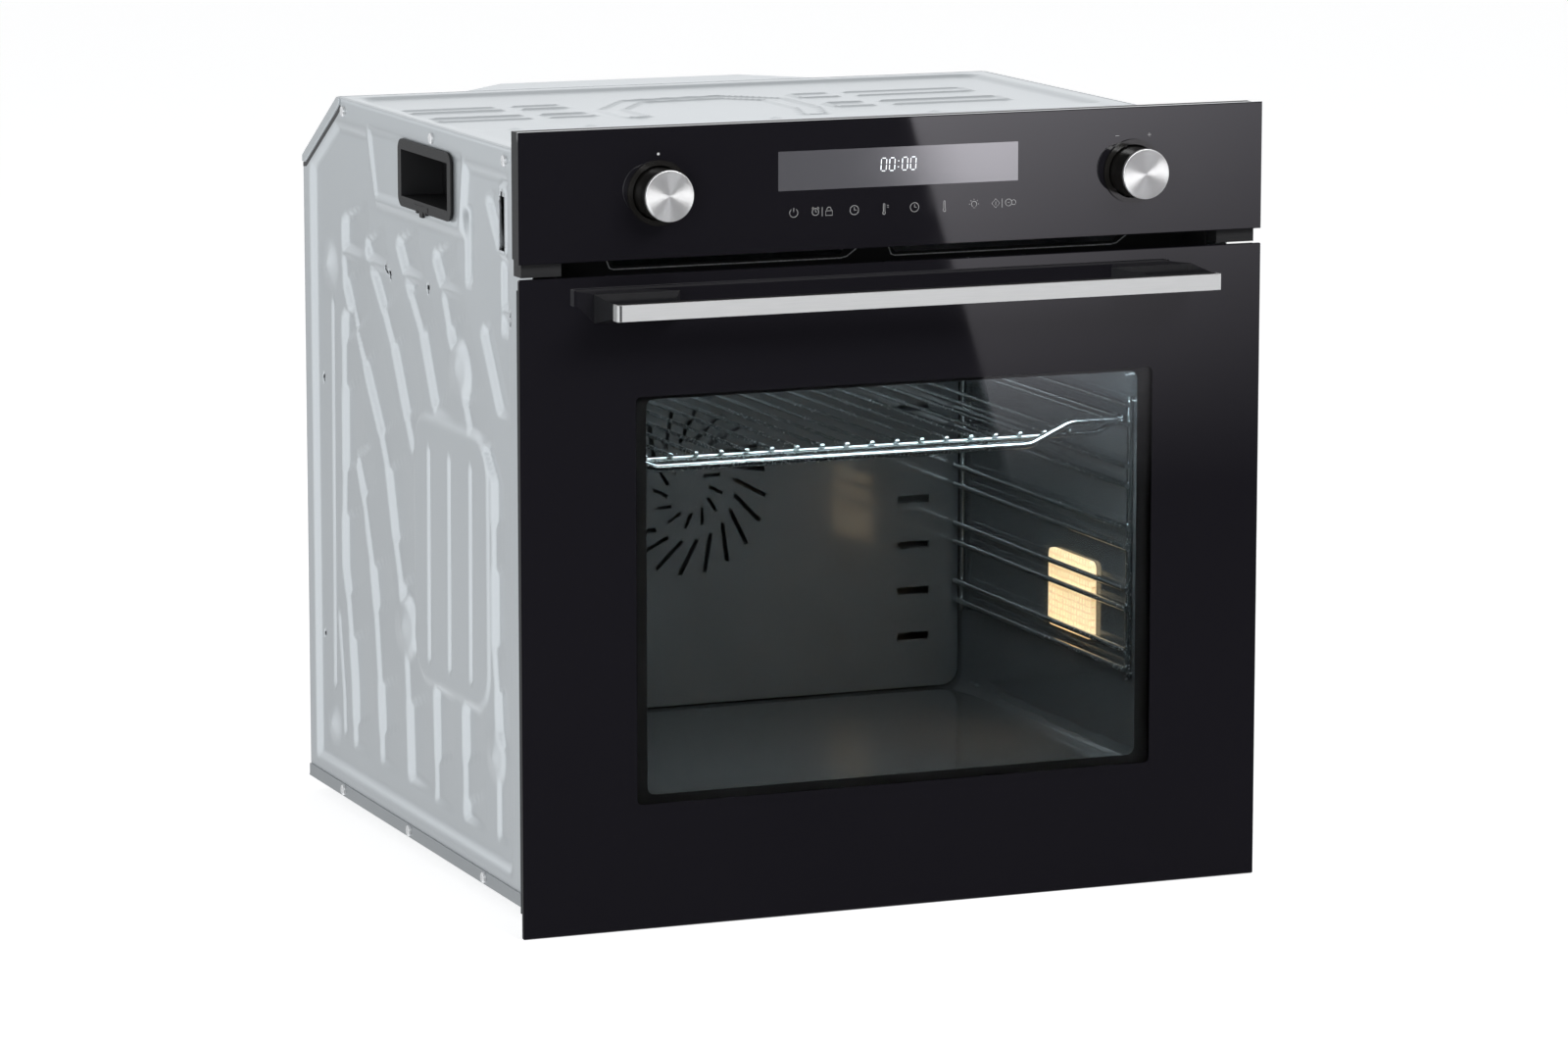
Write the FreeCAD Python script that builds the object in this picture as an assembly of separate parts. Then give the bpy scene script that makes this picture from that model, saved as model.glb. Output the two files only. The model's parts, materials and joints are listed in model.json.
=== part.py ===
import FreeCAD, Part
import math
import os

# A 60 cm built-in electric oven with a bottom-hinged door. Millimetres.
# X runs to the right of someone facing the door, Y to the rear, Z up.
# The origin is the centre of the base's underside, which rests on the cabinet's shelf.

# ---- driving dimensions: the front ----
front_overhang = 18.0      # how far the front stands past each side of the body
door_hollow = 18.0         # from the back of the front glass to the plane of the cabinet's front edges
panel_height = 96.0
panel_gap = 11.0           # air slot between the control panel and the door
door_height = 488.0
door_drop = 12.0           # the door hangs this far below the base
front_glass = 4.0

# ---- driving dimensions: the body ----
body_width = 559.0
body_height = 564.0
body_depth = 545.0
sheet = 1.0
rear_slope_depth = 89.0
rear_slope_drop = 53.0
tray_lip = 10.0
panel_dish = 3.5           # the middle of each side panel is pressed in this far

# ---- driving dimensions: the cavity ----
cavity_width = 480.0
cavity_height = 355.0
cavity_depth = 442.0
back_panel_depth = 415.0   # where the panel in front of the fan stands
cavity_floor = 60.0
cavity_corner = 14.0
wool = 20.0

# ---- driving dimensions: the door ----
side_profile_width = 28.0
side_profile_inset = 6.0   # from the glass's side edge
profile_wall = 2.0
door_rail_height = 22.0
inner_glass_thickness = 4.0
middle_glass_thickness = 3.0
pivot_ahead = 13.0         # pivot ahead of the cabinet plane
pivot_lift = 11.0          # pivot above the door's lower edge
pivot_pin = 2.5
handle_length = 481.0
handle_height = 12.0
handle_reach = 50.0
handle_below_top = 21.0
handle_bar_depth = 12.0
handle_foot = 66.0

# ---- driving dimensions: the controls ----
knob_spacing = 380.0
knob_above_panel_foot = 48.0
knob_radius = 19.5
knob_stand = 24.0          # how far a released knob stands out of the glass
knob_travel = 20.0
knob_shaft = 3.0
bezel_radius = 24.0
display_width = 192.0
display_height = 29.0
display_above_panel_foot = 45.0

# ---- driving dimensions: what is inside the cavity ----
rail_levels = 5
rail_pitch = 48.0
rail_wire = 2.2
rail_front = 83.0
rail_length = 320.0
top_rail = 326.6
rail_pair_gap = 15.4
shelf_frame_wire = 3.0
shelf_cross_wire = 1.6
shelf_cross_count = 19
shelf_cross_pitch = 20.5
shelf_dip = 15.0
shelf_grid_drop = 10.0
shelf_bead = 2.3           # the melted bead on each cross wire's front end
fan_radius = 72.0
fan_blades = 12
heater_wire = 3.2

# ---- clearances ----
fit = 0.3
running = 0.05

# ---- places worked out from the above ----
front_y = -body_depth / 2
half_body = body_width / 2
front_width = body_width + 2 * front_overhang
half_front = front_width / 2
half_cavity = cavity_width / 2
door_bottom = -door_drop
door_top = door_bottom + door_height
panel_bottom = door_top + panel_gap
panel_top = panel_bottom + panel_height
cavity_roof = cavity_floor + cavity_height
cavity_middle = cavity_floor + cavity_height / 2
front_depth = front_glass + door_hollow
glass_back = -front_depth + front_glass
frame_plate = 1.5
frame_top = door_top - 10.0
slope_start = body_depth - rear_slope_depth
slope_foot = body_height - rear_slope_drop
deck_height = cavity_roof + wool + 5.0
knob_height = panel_bottom + knob_above_panel_foot
display_middle = panel_bottom + display_above_panel_foot + display_height / 2
handle_middle = door_top - handle_below_top
pivot_height = door_bottom + pivot_lift
profile_outer = half_front - side_profile_inset
profile_inner = profile_outer - side_profile_width
profile_foot = door_bottom + 9.0
profile_top = door_top - 8.0
profile_back = -1.9
inner_glass_back = -5.5
gasket_width = 7.0
hinge_plane = half_body - 7.5
shaft_end = 32.0


def point(x, d, z):
    """d is the distance behind the plane of the cabinet's front edges."""
    return FreeCAD.Vector(x, front_y + d, z)


def block(x0, x1, d0, d1, z0, z1):
    return Part.makeBox(x1 - x0, d1 - d0, z1 - z0, point(x0, d0, z0))


def rod(radius, start, end):
    along = end - start
    return Part.makeCylinder(radius, along.Length, start, along)


def across(points, x, thickness):
    """A flat plate that faces sideways, from (d, z) points, thickened towards +X."""
    corners = [point(x, d, z) for d, z in points]
    face = Part.Face(Part.makePolygon(corners + corners[:1]))
    return face.extrude(FreeCAD.Vector(thickness, 0, 0))


def facing(points, d, thickness):
    """A flat plate that faces forwards, from (x, z) points, thickened to the rear."""
    corners = [point(x, d, z) for x, z in points]
    face = Part.Face(Part.makePolygon(corners + corners[:1]))
    return face.extrude(FreeCAD.Vector(0, thickness, 0))


def edges_along(shape, axis, places=None):
    found = []
    for edge in shape.Edges:
        if len(edge.Vertexes) != 2:
            continue
        way = edge.Vertexes[1].Point - edge.Vertexes[0].Point
        if way.Length > 0 and abs(way.normalize().dot(axis)) > 0.999:
            found.append(edge)
    return found


def rounded_block(x0, x1, d0, d1, z0, z1, radius, axis):
    shape = block(x0, x1, d0, d1, z0, z1)
    return shape.makeFillet(radius, edges_along(shape, axis))


def bent_rod(points, radius, bend):
    """A round rod along straight runs joined by arcs of one radius."""
    edges = []
    start = points[0]
    for before, corner, after in zip(points, points[1:], points[2:]):
        back = (before - corner).normalize()
        ahead = (after - corner).normalize()
        half = back.getAngle(ahead) / 2
        run = bend / math.tan(half)
        enter = corner + back * run
        leave = corner + ahead * run
        inside = (back + ahead).normalize()
        middle = corner + inside * (bend / math.sin(half) - bend)
        edges.append(Part.LineSegment(start, enter).toShape())
        edges.append(Part.Arc(enter, middle, leave).toShape())
        start = leave
    edges.append(Part.LineSegment(start, points[-1]).toShape())
    path = Part.Wire(edges)
    ring = Part.Wire([Part.Circle(points[0], points[1] - points[0], radius).toShape()])
    return path.makePipeShell([ring], True, True)


def mirrored(shape):
    return shape.mirror(FreeCAD.Vector(0, 0, 0), FreeCAD.Vector(1, 0, 0))


def both_sides(shape):
    """The piece and its mirror image, as two solids."""
    return Part.makeCompound([shape, mirrored(shape)])


def joined(shapes):
    first, *rest = shapes
    return first.multiFuse(rest).removeSplitter() if rest else first


axis_x = FreeCAD.Vector(1, 0, 0)
axis_y = FreeCAD.Vector(0, 1, 0)
axis_z = FreeCAD.Vector(0, 0, 1)

# ---------------------------------------------------------------- the case

screw_shank = 1.8
screw_head = 4.2
side_screw_depths = [58.0, 223.0, 438.0]
tray_screw_depths = [113.0, 289.0, 453.0]
side_screw_height = body_height - 10.0
tray_screw_height = 5.5


def side_screw_places():
    top = [(half_body, d, side_screw_height) for d in side_screw_depths]
    foot = [(half_body + fit + sheet, d, tray_screw_height) for d in tray_screw_depths]
    return top + foot


def screw_holes():
    inward = FreeCAD.Vector(8, 0, 0)
    return [rod(screw_shank + fit / 2, point(x + 1, d, z) - inward, point(x + 1, d, z))
            for x, d, z in side_screw_places()]


grip_depths = (177.0, 301.0)       # the bezel, front to rear
grip_heights = (495.0, 547.0)
grip_bezel = 6.0
grip_cup_depth = 34.0


def grip_window(margin):
    d0, d1 = grip_depths
    z0, z1 = grip_heights
    inset = grip_bezel - margin
    return d0 + inset, d1 - inset, z0 + inset, z1 - inset


def dish_outline():
    """The pressed-in field of a side panel passes under the raised patch at the grip."""
    front = 55.0
    rear = body_depth - 21.0
    foot = tray_lip + 12.0
    top = body_height - 23.0
    patch_foot = grip_heights[0] - 7.0
    patch_front = grip_depths[0] - 20.0
    patch_rear = grip_depths[1] + 70.0
    return [
        (front, foot), (rear, foot), (rear, slope_foot - 10.0),
        (slope_start + 5.0, top), (patch_rear + 17.0, top), (patch_rear, patch_foot),
        (patch_front, patch_foot), (patch_front - 12.0, top), (front, top),
    ]


def side_panel():
    case_foot = sheet + fit
    outline = [(0, case_foot), (body_depth - sheet - fit, case_foot),
               (body_depth - sheet - fit, slope_foot), (slope_start, body_height), (0, body_height)]
    plate = across(outline, half_body - sheet, sheet)
    dish = across(dish_outline(), half_body - panel_dish - sheet, panel_dish + sheet)
    dish_face = Part.Face(Part.makePolygon([point(half_body - panel_dish, d, z)
                                            for d, z in dish_outline() + dish_outline()[:1]]))
    hollow_face = dish_face.makeOffset2D(-sheet)
    hollow = hollow_face.extrude(FreeCAD.Vector(panel_dish + 1, 0, 0))
    panel = plate.fuse(dish).cut(hollow)
    rear_flange = block(half_body - 14.0, half_body - sheet / 2, body_depth - 2 * sheet - fit,
                        body_depth - sheet - fit, case_foot, slope_foot - 4.0)
    front_flange = block(half_body - 14.0, half_body - sheet / 2, 0, sheet, case_foot, body_height - 16.0)
    panel = panel.fuse(rear_flange).fuse(front_flange)
    d0, d1, z0, z1 = grip_window(fit)
    window = block(half_body - 20.0, half_body + 5.0, d0, d1, z0, z1)
    slot = across([(60, 486), (72, 486), (72, 524), (66, 532), (60, 524)], half_body - 20.0, 30.0)
    hinge_gap = block(half_body - 16.0, half_body - sheet - fit / 2, -1, 2, 14.0, 62.0)
    return cut_all(panel, [window, slot, hinge_gap] + screw_holes())


def cut_all(shape, tools):
    for tool in tools:
        shape = shape.cut(tool)
    return shape


def base_tray():
    half = half_body + fit + sheet
    floor = block(-half, half, 2.0, body_depth, 0, sheet)
    lips = []
    for x0 in (-half, half - sheet):
        lip = block(x0, x0 + sheet, 30.0, body_depth - sheet - fit, 0, tray_lip)
        lips.append(lip)
    tray = joined([floor] + lips)
    holes = screw_holes()
    return cut_all(tray, holes + [mirrored(hole) for hole in holes])


def top_cover():
    half = half_body - sheet - fit
    plate = block(-half, half, 3.0, slope_start, body_height - sheet, body_height)
    flanges = [block(x0, x0 + sheet, 3.0, slope_start - 2.0, body_height - 18.0, body_height)
               for x0 in (-half, half - sheet)]
    front_lip = block(-half, half, 3.0, 3.0 + sheet, body_height - 8.0, body_height)
    cover = joined([plate, front_lip] + flanges)
    holes = screw_holes()
    return cut_all(cover, holes + [mirrored(hole) for hole in holes])


hump_left = -172.0
hump_right = 128.0
hump_taper = 47.0          # each side leans in this far from front to back
hump_flat = 48.0           # the level top runs this far back, then falls to the rear
hump_end = 8.0             # what is left of its height at the very back


def rear_duct_cover():
    """The sloped rear corner of the case with the raised air duct in its middle."""
    half = half_body - sheet - fit
    drop = sheet / math.cos(math.atan2(rear_slope_drop, rear_slope_depth))
    slope = across([(slope_start + fit, body_height), (body_depth, slope_foot),
                    (body_depth, slope_foot - drop), (slope_start + fit, body_height - drop)],
                   -half, 2 * half)
    near = slope_start + fit
    plan = [(hump_left, near), (hump_right, near), (hump_right - hump_taper, near + hump_flat),
            (hump_right - hump_taper, body_depth), (hump_left + hump_taper, body_depth),
            (hump_left + hump_taper, near + hump_flat)]

    def duct(inset):
        outline = Part.Face(Part.makePolygon([point(x, d, slope_foot - 40) for x, d in plan + plan[:1]]))
        solid = outline.makeOffset2D(-inset) if inset else outline
        solid = solid.extrude(FreeCAD.Vector(0, 0, body_height - slope_foot + 40 - inset))
        fall = across([(near + hump_flat, body_height - inset), (body_depth + 1, slope_foot + hump_end - inset),
                       (body_depth + 1, body_height + 9), (near + hump_flat, body_height + 9)],
                      -half - 1, 2 * half + 2)
        return solid.cut(fall)

    below = across([(near - 1, body_height - drop), (body_depth + 1, slope_foot - drop - 0.6),
                    (body_depth + 1, slope_foot - 80), (near - 1, slope_foot - 80)],
                   -half - 1, 2 * half + 2)
    return slope.fuse(duct(0).cut(below)).cut(duct(sheet))


gland_x = -195.0
gland_height = 470.0
gland_bore = 5.5
gland_radius = 11.0


def back_cover():
    half = half_body - fit
    plate = block(-half, half, body_depth - sheet, body_depth, sheet + fit, slope_foot - 2.5)
    slots = []
    for row in range(4):
        for column in range(9):
            x = -160.0 + column * 40.0
            z = 70.0 + row * 16.0
            slots.append(block(x, x + 28.0, body_depth - 2, body_depth + 1, z, z + 5.0))
    hole = rod(gland_radius - 3.0 + fit, point(gland_x, body_depth - 3, gland_height),
               point(gland_x, body_depth + 1, gland_height))
    return cut_all(plate, slots + [hole])


def cable_gland():
    """A bush for the supply lead in the back cover."""
    collar = rod(gland_radius, point(gland_x, body_depth - sheet - 4.0, gland_height),
                 point(gland_x, body_depth - sheet, gland_height))
    neck = rod(gland_radius - 3.0, point(gland_x, body_depth - sheet - 4.0, gland_height),
               point(gland_x, body_depth, gland_height))
    bore = rod(gland_bore, point(gland_x, body_depth - 10.0, gland_height),
               point(gland_x, body_depth + 1, gland_height))
    return collar.fuse(neck).cut(bore)


def grip_recess():
    d0, d1 = grip_depths
    z0, z1 = grip_heights
    bezel = rounded_block(half_body, half_body + 1.5, d0, d1, z0, z1, 9.0, axis_x)
    c0, c1, e0, e1 = grip_window(0)
    cup = block(half_body - grip_cup_depth, half_body + 0.5, c0, c1, e0, e1)
    hollow = block(half_body - grip_cup_depth + 2, half_body + 2, c0 + 2, c1 - 2, e0 + 2, e1 - 2)
    return bezel.fuse(cup).cut(hollow)


def body_screws():
    screws = []
    for x, d, z in side_screw_places():
        head = rod(screw_head, point(x, d, z), point(x + 2.2, d, z))
        head = head.makeFillet(1.2, [head.Edges[0]]) if len(head.Edges) else head
        shank = rod(screw_shank, point(x - 5.0, d, z), point(x + 0.5, d, z))
        screw = head.fuse(shank)
        screws += [screw, mirrored(screw)]
    return Part.makeCompound(screws)


# ---------------------------------------------------------------- the chassis front

flange_outer = half_front - 5.5
flange_screw_x = flange_outer - 5.5
flange_screw_heights = (60.0, 410.0)
flange_screw_bore = 2.5
hinge_slot_width = 8.0


def front_frame():
    plate = block(-flange_outer, flange_outer, -frame_plate, 0, 3.0, frame_top)
    opening = rounded_block(-half_cavity, half_cavity, -5, 5, cavity_floor, cavity_roof,
                            cavity_corner, axis_y)
    cuts = [opening]
    for side in (-1, 1):
        x = side * hinge_plane
        cuts.append(block(x - hinge_slot_width / 2, x + hinge_slot_width / 2, -5, 5, 20.0, 50.0))
        for z in flange_screw_heights:
            cuts.append(rod(flange_screw_bore, point(side * flange_screw_x, -5, z),
                            point(side * flange_screw_x, 5, z)))
    return cut_all(plate, cuts)


def door_gasket():
    def ring(out):
        return rounded_block(-half_cavity - out, half_cavity + out, inner_glass_back + 0.2, -frame_plate,
                             cavity_floor - out, cavity_roof + out, cavity_corner + out, axis_y)
    near = 4.0
    return ring(near + gasket_width).cut(ring(near))


def hinge_receiver():
    """A steel pocket behind the front frame that the door's hinge arm hooks into."""
    x0 = hinge_plane - 9.0
    x1 = min(hinge_plane + 9.0, half_body - sheet - fit)
    box = block(x0, x1, sheet + fit, 46.0, 16.0, 60.0)
    hollow = block(hinge_plane - 4.0, hinge_plane + 4.0, 0, 42.0, 26.0 - running, 46.0 + running)
    return box.cut(hollow)


arm_thickness = 4.0


def hinge_arm():
    """The arm that stays with the body and carries the door's pivot at its nose."""
    d = -pivot_ahead
    z = pivot_height
    outline = [(36, 26), (36, 46), (-3, 46), (d - 2.5, z + 4), (d + 3, z - 3), (-4, 12), (-2.5, 26)]
    x0 = hinge_plane - arm_thickness / 2
    eye = rod(4.5, point(x0, d, z), point(x0 + arm_thickness, d, z))
    bore = rod(pivot_pin + running, point(x0 - 1, d, z), point(x0 + arm_thickness + 1, d, z))
    return across(outline, x0, arm_thickness).fuse(eye).cut(bore)


# ---------------------------------------------------------------- the cavity

lamp_depths = (148.0, 230.0)
lamp_heights = (145.0, 207.0)
lamp_rim = 5.0
grill_lead_x = 30.0
grill_height = cavity_roof - 15.0
bottom_element_height = cavity_floor - 10.0
ring_radius = 92.0
ring_lead_x = 12.0
ring_depth = cavity_depth - 13.0
probe_height = cavity_roof - 26.0
probe_depth = 300.0
motor_leg_x = 52.0


def cavity_liner():
    outer = rounded_block(-half_cavity - sheet, half_cavity + sheet, 0, cavity_depth + sheet,
                          cavity_floor - sheet, cavity_roof + sheet, cavity_corner + sheet, axis_y)
    inner = rounded_block(-half_cavity, half_cavity, -1, cavity_depth,
                          cavity_floor, cavity_roof, cavity_corner, axis_y)
    cuts = [inner]
    back = cavity_depth - 5
    cuts.append(rod(6.0, point(0, back, cavity_middle), point(0, back + 10, cavity_middle)))
    for side in (-1, 1):
        x = side * grill_lead_x
        cuts.append(rod(heater_wire + 0.8, point(x, back, grill_height), point(x, back + 10, grill_height)))
        x = side * ring_lead_x
        z = cavity_middle - ring_radius
        cuts.append(rod(heater_wire + 0.8, point(x, back, z), point(x, back + 10, z)))
    cuts.append(block(half_cavity - 5, half_cavity + 5, lamp_depths[0] + lamp_rim, lamp_depths[1] - lamp_rim,
                      lamp_heights[0] + lamp_rim, lamp_heights[1] - lamp_rim))
    cuts.append(rod(2.6, point(-half_cavity - 5, probe_depth, probe_height),
                    point(-half_cavity + 5, probe_depth, probe_height)))
    return cut_all(outer, cuts)


def insulation_blanket():
    """Mineral wool round the cavity, with room under the floor for the lower heater."""
    side = half_cavity + sheet + fit
    foot = cavity_floor - 16.0
    roof = cavity_roof + sheet + fit
    rear = cavity_depth + sheet + fit
    outer = block(-side - wool, side + wool, 6.0, rear + wool, foot - wool + 4.0, roof + wool)
    cuts = [block(-side, side, 0, rear, foot, roof)]
    cuts.append(rod(14.0, point(0, rear - 1, cavity_middle), point(0, rear + wool + 1, cavity_middle)))
    for x in (-motor_leg_x, motor_leg_x):
        cuts.append(rod(4.0, point(x, rear - 1, cavity_middle), point(x, rear + wool + 1, cavity_middle)))
    cuts.append(block(-45, 45, rear - 1, rear + wool + 1, grill_height - 8, grill_height + 8))
    cuts.append(block(-25, 25, rear - 1, rear + wool + 1, cavity_middle - ring_radius - 8,
                      cavity_middle - ring_radius + 8))
    cuts.append(block(-80, 80, rear - 1, rear + wool + 1, foot, bottom_element_height + 8))
    cuts.append(block(side - 1, side + wool + 1, lamp_depths[0] - 2, lamp_depths[1] + 2,
                      lamp_heights[0] - 2, lamp_heights[1] + 2))
    cuts.append(rod(6.0, point(-side - wool - 1, probe_depth, probe_height),
                    point(-side + 1, probe_depth, probe_height)))
    return cut_all(outer, cuts)


def cavity_back_panel():
    """The panel in front of the fan: it is drawn in through the middle and out at the sides."""
    half = half_cavity - 2.0
    low = cavity_floor + 2.0
    high = grill_height - 8.0
    outer = rounded_block(-half, half, back_panel_depth, cavity_depth, low, high, cavity_corner, axis_y)
    inner = rounded_block(-half + 1.2, half - 1.2, back_panel_depth + 1.2, cavity_depth + 1,
                          low + 1.2, high - 1.2, cavity_corner - 1.2, axis_y)
    cuts = [inner]
    centre = point(0, back_panel_depth - 2, cavity_middle)
    for ring, count, length, width in ((24.0, 12, 14.0, 3.2), (54.0, 20, 32.0, 4.0)):
        for index in range(count):
            slot = Part.makeBox(width, 6.0, length, FreeCAD.Vector(-width / 2, 0, -length / 2))
            slot.rotate(FreeCAD.Vector(0, 0, 0), axis_y, 28.0)
            slot.translate(FreeCAD.Vector(0, 0, ring))
            slot.rotate(FreeCAD.Vector(0, 0, 0), axis_y, 360.0 * index / count)
            slot.translate(centre)
            cuts.append(slot)
    for side in (-1, 1):
        for row in range(7):
            z = low + 40 + row * 38
            x = side * (half - 40)
            cuts.append(block(x - 14, x + 14, back_panel_depth - 2, back_panel_depth + 3, z, z + 6))
    return cut_all(outer, cuts)


def convection_fan():
    disc_depth = back_panel_depth + 6.0
    disc = rod(fan_radius, point(0, disc_depth, cavity_middle), point(0, disc_depth + 1.5, cavity_middle))
    hub = rod(9.0, point(0, disc_depth - 2, cavity_middle), point(0, disc_depth + 14, cavity_middle))
    shaft = rod(4.0, point(0, disc_depth + 10, cavity_middle), point(0, cavity_depth + 52, cavity_middle))
    blades = []
    for index in range(fan_blades):
        blade = Part.makeBox(1.5, 13.0, 34.0, FreeCAD.Vector(-0.75, 0, -17))
        blade.rotate(FreeCAD.Vector(0, 0, 0), axis_y, 25.0)
        blade.translate(FreeCAD.Vector(0, 0, fan_radius - 19.0))
        blade.rotate(FreeCAD.Vector(0, 0, 0), axis_y, 360.0 * index / fan_blades)
        blade.translate(point(0, disc_depth + 1.0, cavity_middle))
        blades.append(blade)
    return joined([disc, hub, shaft] + blades)


def fan_motor():
    near = cavity_depth + sheet + fit + wool + 4.0
    can = rod(38.0, point(0, near, cavity_middle), point(0, near + 46, cavity_middle))
    strap = block(-62, 62, near - 2.0, near, cavity_middle - 18, cavity_middle + 18)
    legs = [rod(3.0, point(x, cavity_depth + sheet, cavity_middle), point(x, near, cavity_middle))
            for x in (-motor_leg_x, motor_leg_x)]
    bore = rod(4.0 + running, point(0, near - 5, cavity_middle), point(0, near + 30, cavity_middle))
    return joined([can, strap] + legs).cut(bore)


def element_plate(lead_x, z):
    """The plate that fixes a heater's leads to the cavity's rear wall."""
    return block(-lead_x - 8, lead_x + 8, cavity_depth - sheet, cavity_depth, z - 7.0, z + 7.0)


def ring_element():
    centre = point(0, ring_depth, cavity_middle)
    ring = Part.makeTorus(ring_radius, heater_wire, centre, axis_y)
    parts = [ring]
    for side in (-1, 1):
        x = side * ring_lead_x
        z = cavity_middle - ring_radius
        parts.append(rod(heater_wire - 0.1, point(x, ring_depth, z), point(x, cavity_depth + 18, z)))
    parts.append(element_plate(ring_lead_x, cavity_middle - ring_radius))
    return joined(parts)


def grill_element():
    z = grill_height
    rear = cavity_depth + 18.0
    lead = grill_lead_x
    plan = [(-lead, rear), (-lead, 370), (-200, 370), (-200, 60), (-100, 60), (-100, 300),
            (100, 300), (100, 60), (200, 60), (200, 370), (lead, 370), (lead, rear)]
    rod_shape = bent_rod([point(x, d, z) for x, d in plan], heater_wire, 20.0)
    return rod_shape.fuse(element_plate(grill_lead_x, z))


def bottom_element():
    z = bottom_element_height
    rear = cavity_depth + 30.0
    plan = [(-60, rear), (-60, 380), (-190, 380), (-190, 80), (190, 80), (190, 380), (60, 380), (60, rear)]
    rod_shape = bent_rod([point(x, d, z) for x, d in plan], heater_wire, 24.0)
    straps = [block(-196, 196, d, d + 12, z, cavity_floor - sheet) for d in (140, 300)]
    return joined([rod_shape] + straps)


def lamp_lens():
    """A patterned glass cover over the oven lamp, on the right wall."""
    lens = rounded_block(half_cavity - 4.0, half_cavity, lamp_depths[0], lamp_depths[1],
                         lamp_heights[0], lamp_heights[1], 6.0, axis_x)
    return lens


def lamp_holder():
    x0 = half_cavity + sheet
    x1 = x0 + 19.0
    box = block(x0, x1, lamp_depths[0], lamp_depths[1], lamp_heights[0], lamp_heights[1])
    hollow = block(x0 - 1, x1 - 1, lamp_depths[0] + 1, lamp_depths[1] - 1, lamp_heights[0] + 1,
                   lamp_heights[1] - 1)
    return box.cut(hollow)


def lamp_bulb():
    x = half_cavity + sheet + 9.0
    z = (lamp_heights[0] + lamp_heights[1]) / 2
    base = lamp_depths[1] - 1.0
    socket = rod(7.0, point(x, base - 18, z), point(x, base, z))
    capsule = rod(5.0, point(x, base - 44, z), point(x, base - 17, z))
    capsule = capsule.fuse(Part.makeSphere(5.0, point(x, base - 44, z)))
    return socket.fuse(capsule)


rail_post_x = half_cavity - 3.0
rail_x = rail_post_x - 2 * rail_wire + 0.2


def side_rail():
    """A wire ladder that hangs on the side wall and carries the shelves."""
    near = rail_front
    far = rail_front + rail_length
    foot = top_rail - (rail_levels - 1) * rail_pitch - 9.0
    head = top_rail + rail_pair_gap + 6.0
    parts = []
    for d in (near, far):
        parts.append(rod(rail_wire, point(rail_post_x, d, foot), point(rail_post_x, d, head)))
        for z in (foot + 4.0, head - 4.0):
            parts.append(rod(rail_wire, point(rail_post_x, d, z), point(half_cavity, d, z)))
    for level in range(rail_levels):
        z = top_rail - level * rail_pitch
        for rise in (0, rail_pair_gap):
            parts.append(rod(rail_wire, point(rail_x, near - 6, z + rise), point(rail_x, far + 6, z + rise)))
    return joined(parts)


shelf_side_gap = 2.0
shelf_side_x = rail_x - shelf_side_gap
shelf_rest = math.sqrt((rail_wire + shelf_frame_wire + 0.1) ** 2 - shelf_side_gap ** 2)
shelf_height = top_rail + shelf_rest
shelf_front = rail_front - 7.0
shelf_rear = rail_front + rail_length + 5.0


def wire_shelf():
    """A bent frame wire that rests on the side rails, and a lower grid hung between its sides."""
    top = shelf_height
    dip = shelf_height - shelf_dip
    side = shelf_side_x
    route = [(4, shelf_rear, top), (-side, shelf_rear, top), (-side, shelf_front, top),
             (-188, shelf_front, top), (-158, shelf_front, dip), (150, shelf_front, dip),
             (183, shelf_front, top), (side, shelf_front, top), (side, shelf_rear, top), (10, shelf_rear, top)]
    loop = bent_rod([point(x, d, z) for x, d, z in route], shelf_frame_wire, 20.0)
    parts = [loop, rod(shelf_frame_wire - 0.1, point(-6, shelf_rear, top), point(16, shelf_rear, top))]
    grid = top - shelf_grid_drop
    for d in (shelf_front + 7, shelf_rear - 12):
        hanger = [(-side, top), (-side + 22, grid), (side - 22, grid), (side, top)]
        parts.append(bent_rod([point(x, d, z) for x, z in hanger], rail_wire, 8.0))
    first = -shelf_cross_pitch * (shelf_cross_count - 1) / 2
    wire_height = grid + rail_wire + shelf_cross_wire - 0.6
    for index in range(shelf_cross_count):
        x = first + index * shelf_cross_pitch
        near = point(x, shelf_front + 4, wire_height)
        parts.append(rod(shelf_cross_wire, near, point(x, shelf_rear - 9, wire_height)))
        parts.append(Part.makeSphere(shelf_bead, near))
    return joined(parts)


def temperature_probe():
    stem = rod(2.0, point(-half_cavity - 12, probe_depth, probe_height),
               point(-half_cavity + 60, probe_depth, probe_height))
    return stem.fuse(rod(5.0, point(-half_cavity - 12, probe_depth, probe_height),
                         point(-half_cavity - sheet, probe_depth, probe_height)))


# ---------------------------------------------------------------- above the cavity

blower_axis_depth = 300.0
blower_axis_height = deck_height + 46.0
blower_radius = 28.0
blower_left = -150.0
blower_right = 90.0
blower_blades = 20
blower_shaft = 3.0


def electronics_deck():
    half = half_body - panel_dish - sheet
    return block(-half, half, 20.0, body_depth - 25, deck_height, deck_height + sheet)


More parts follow.
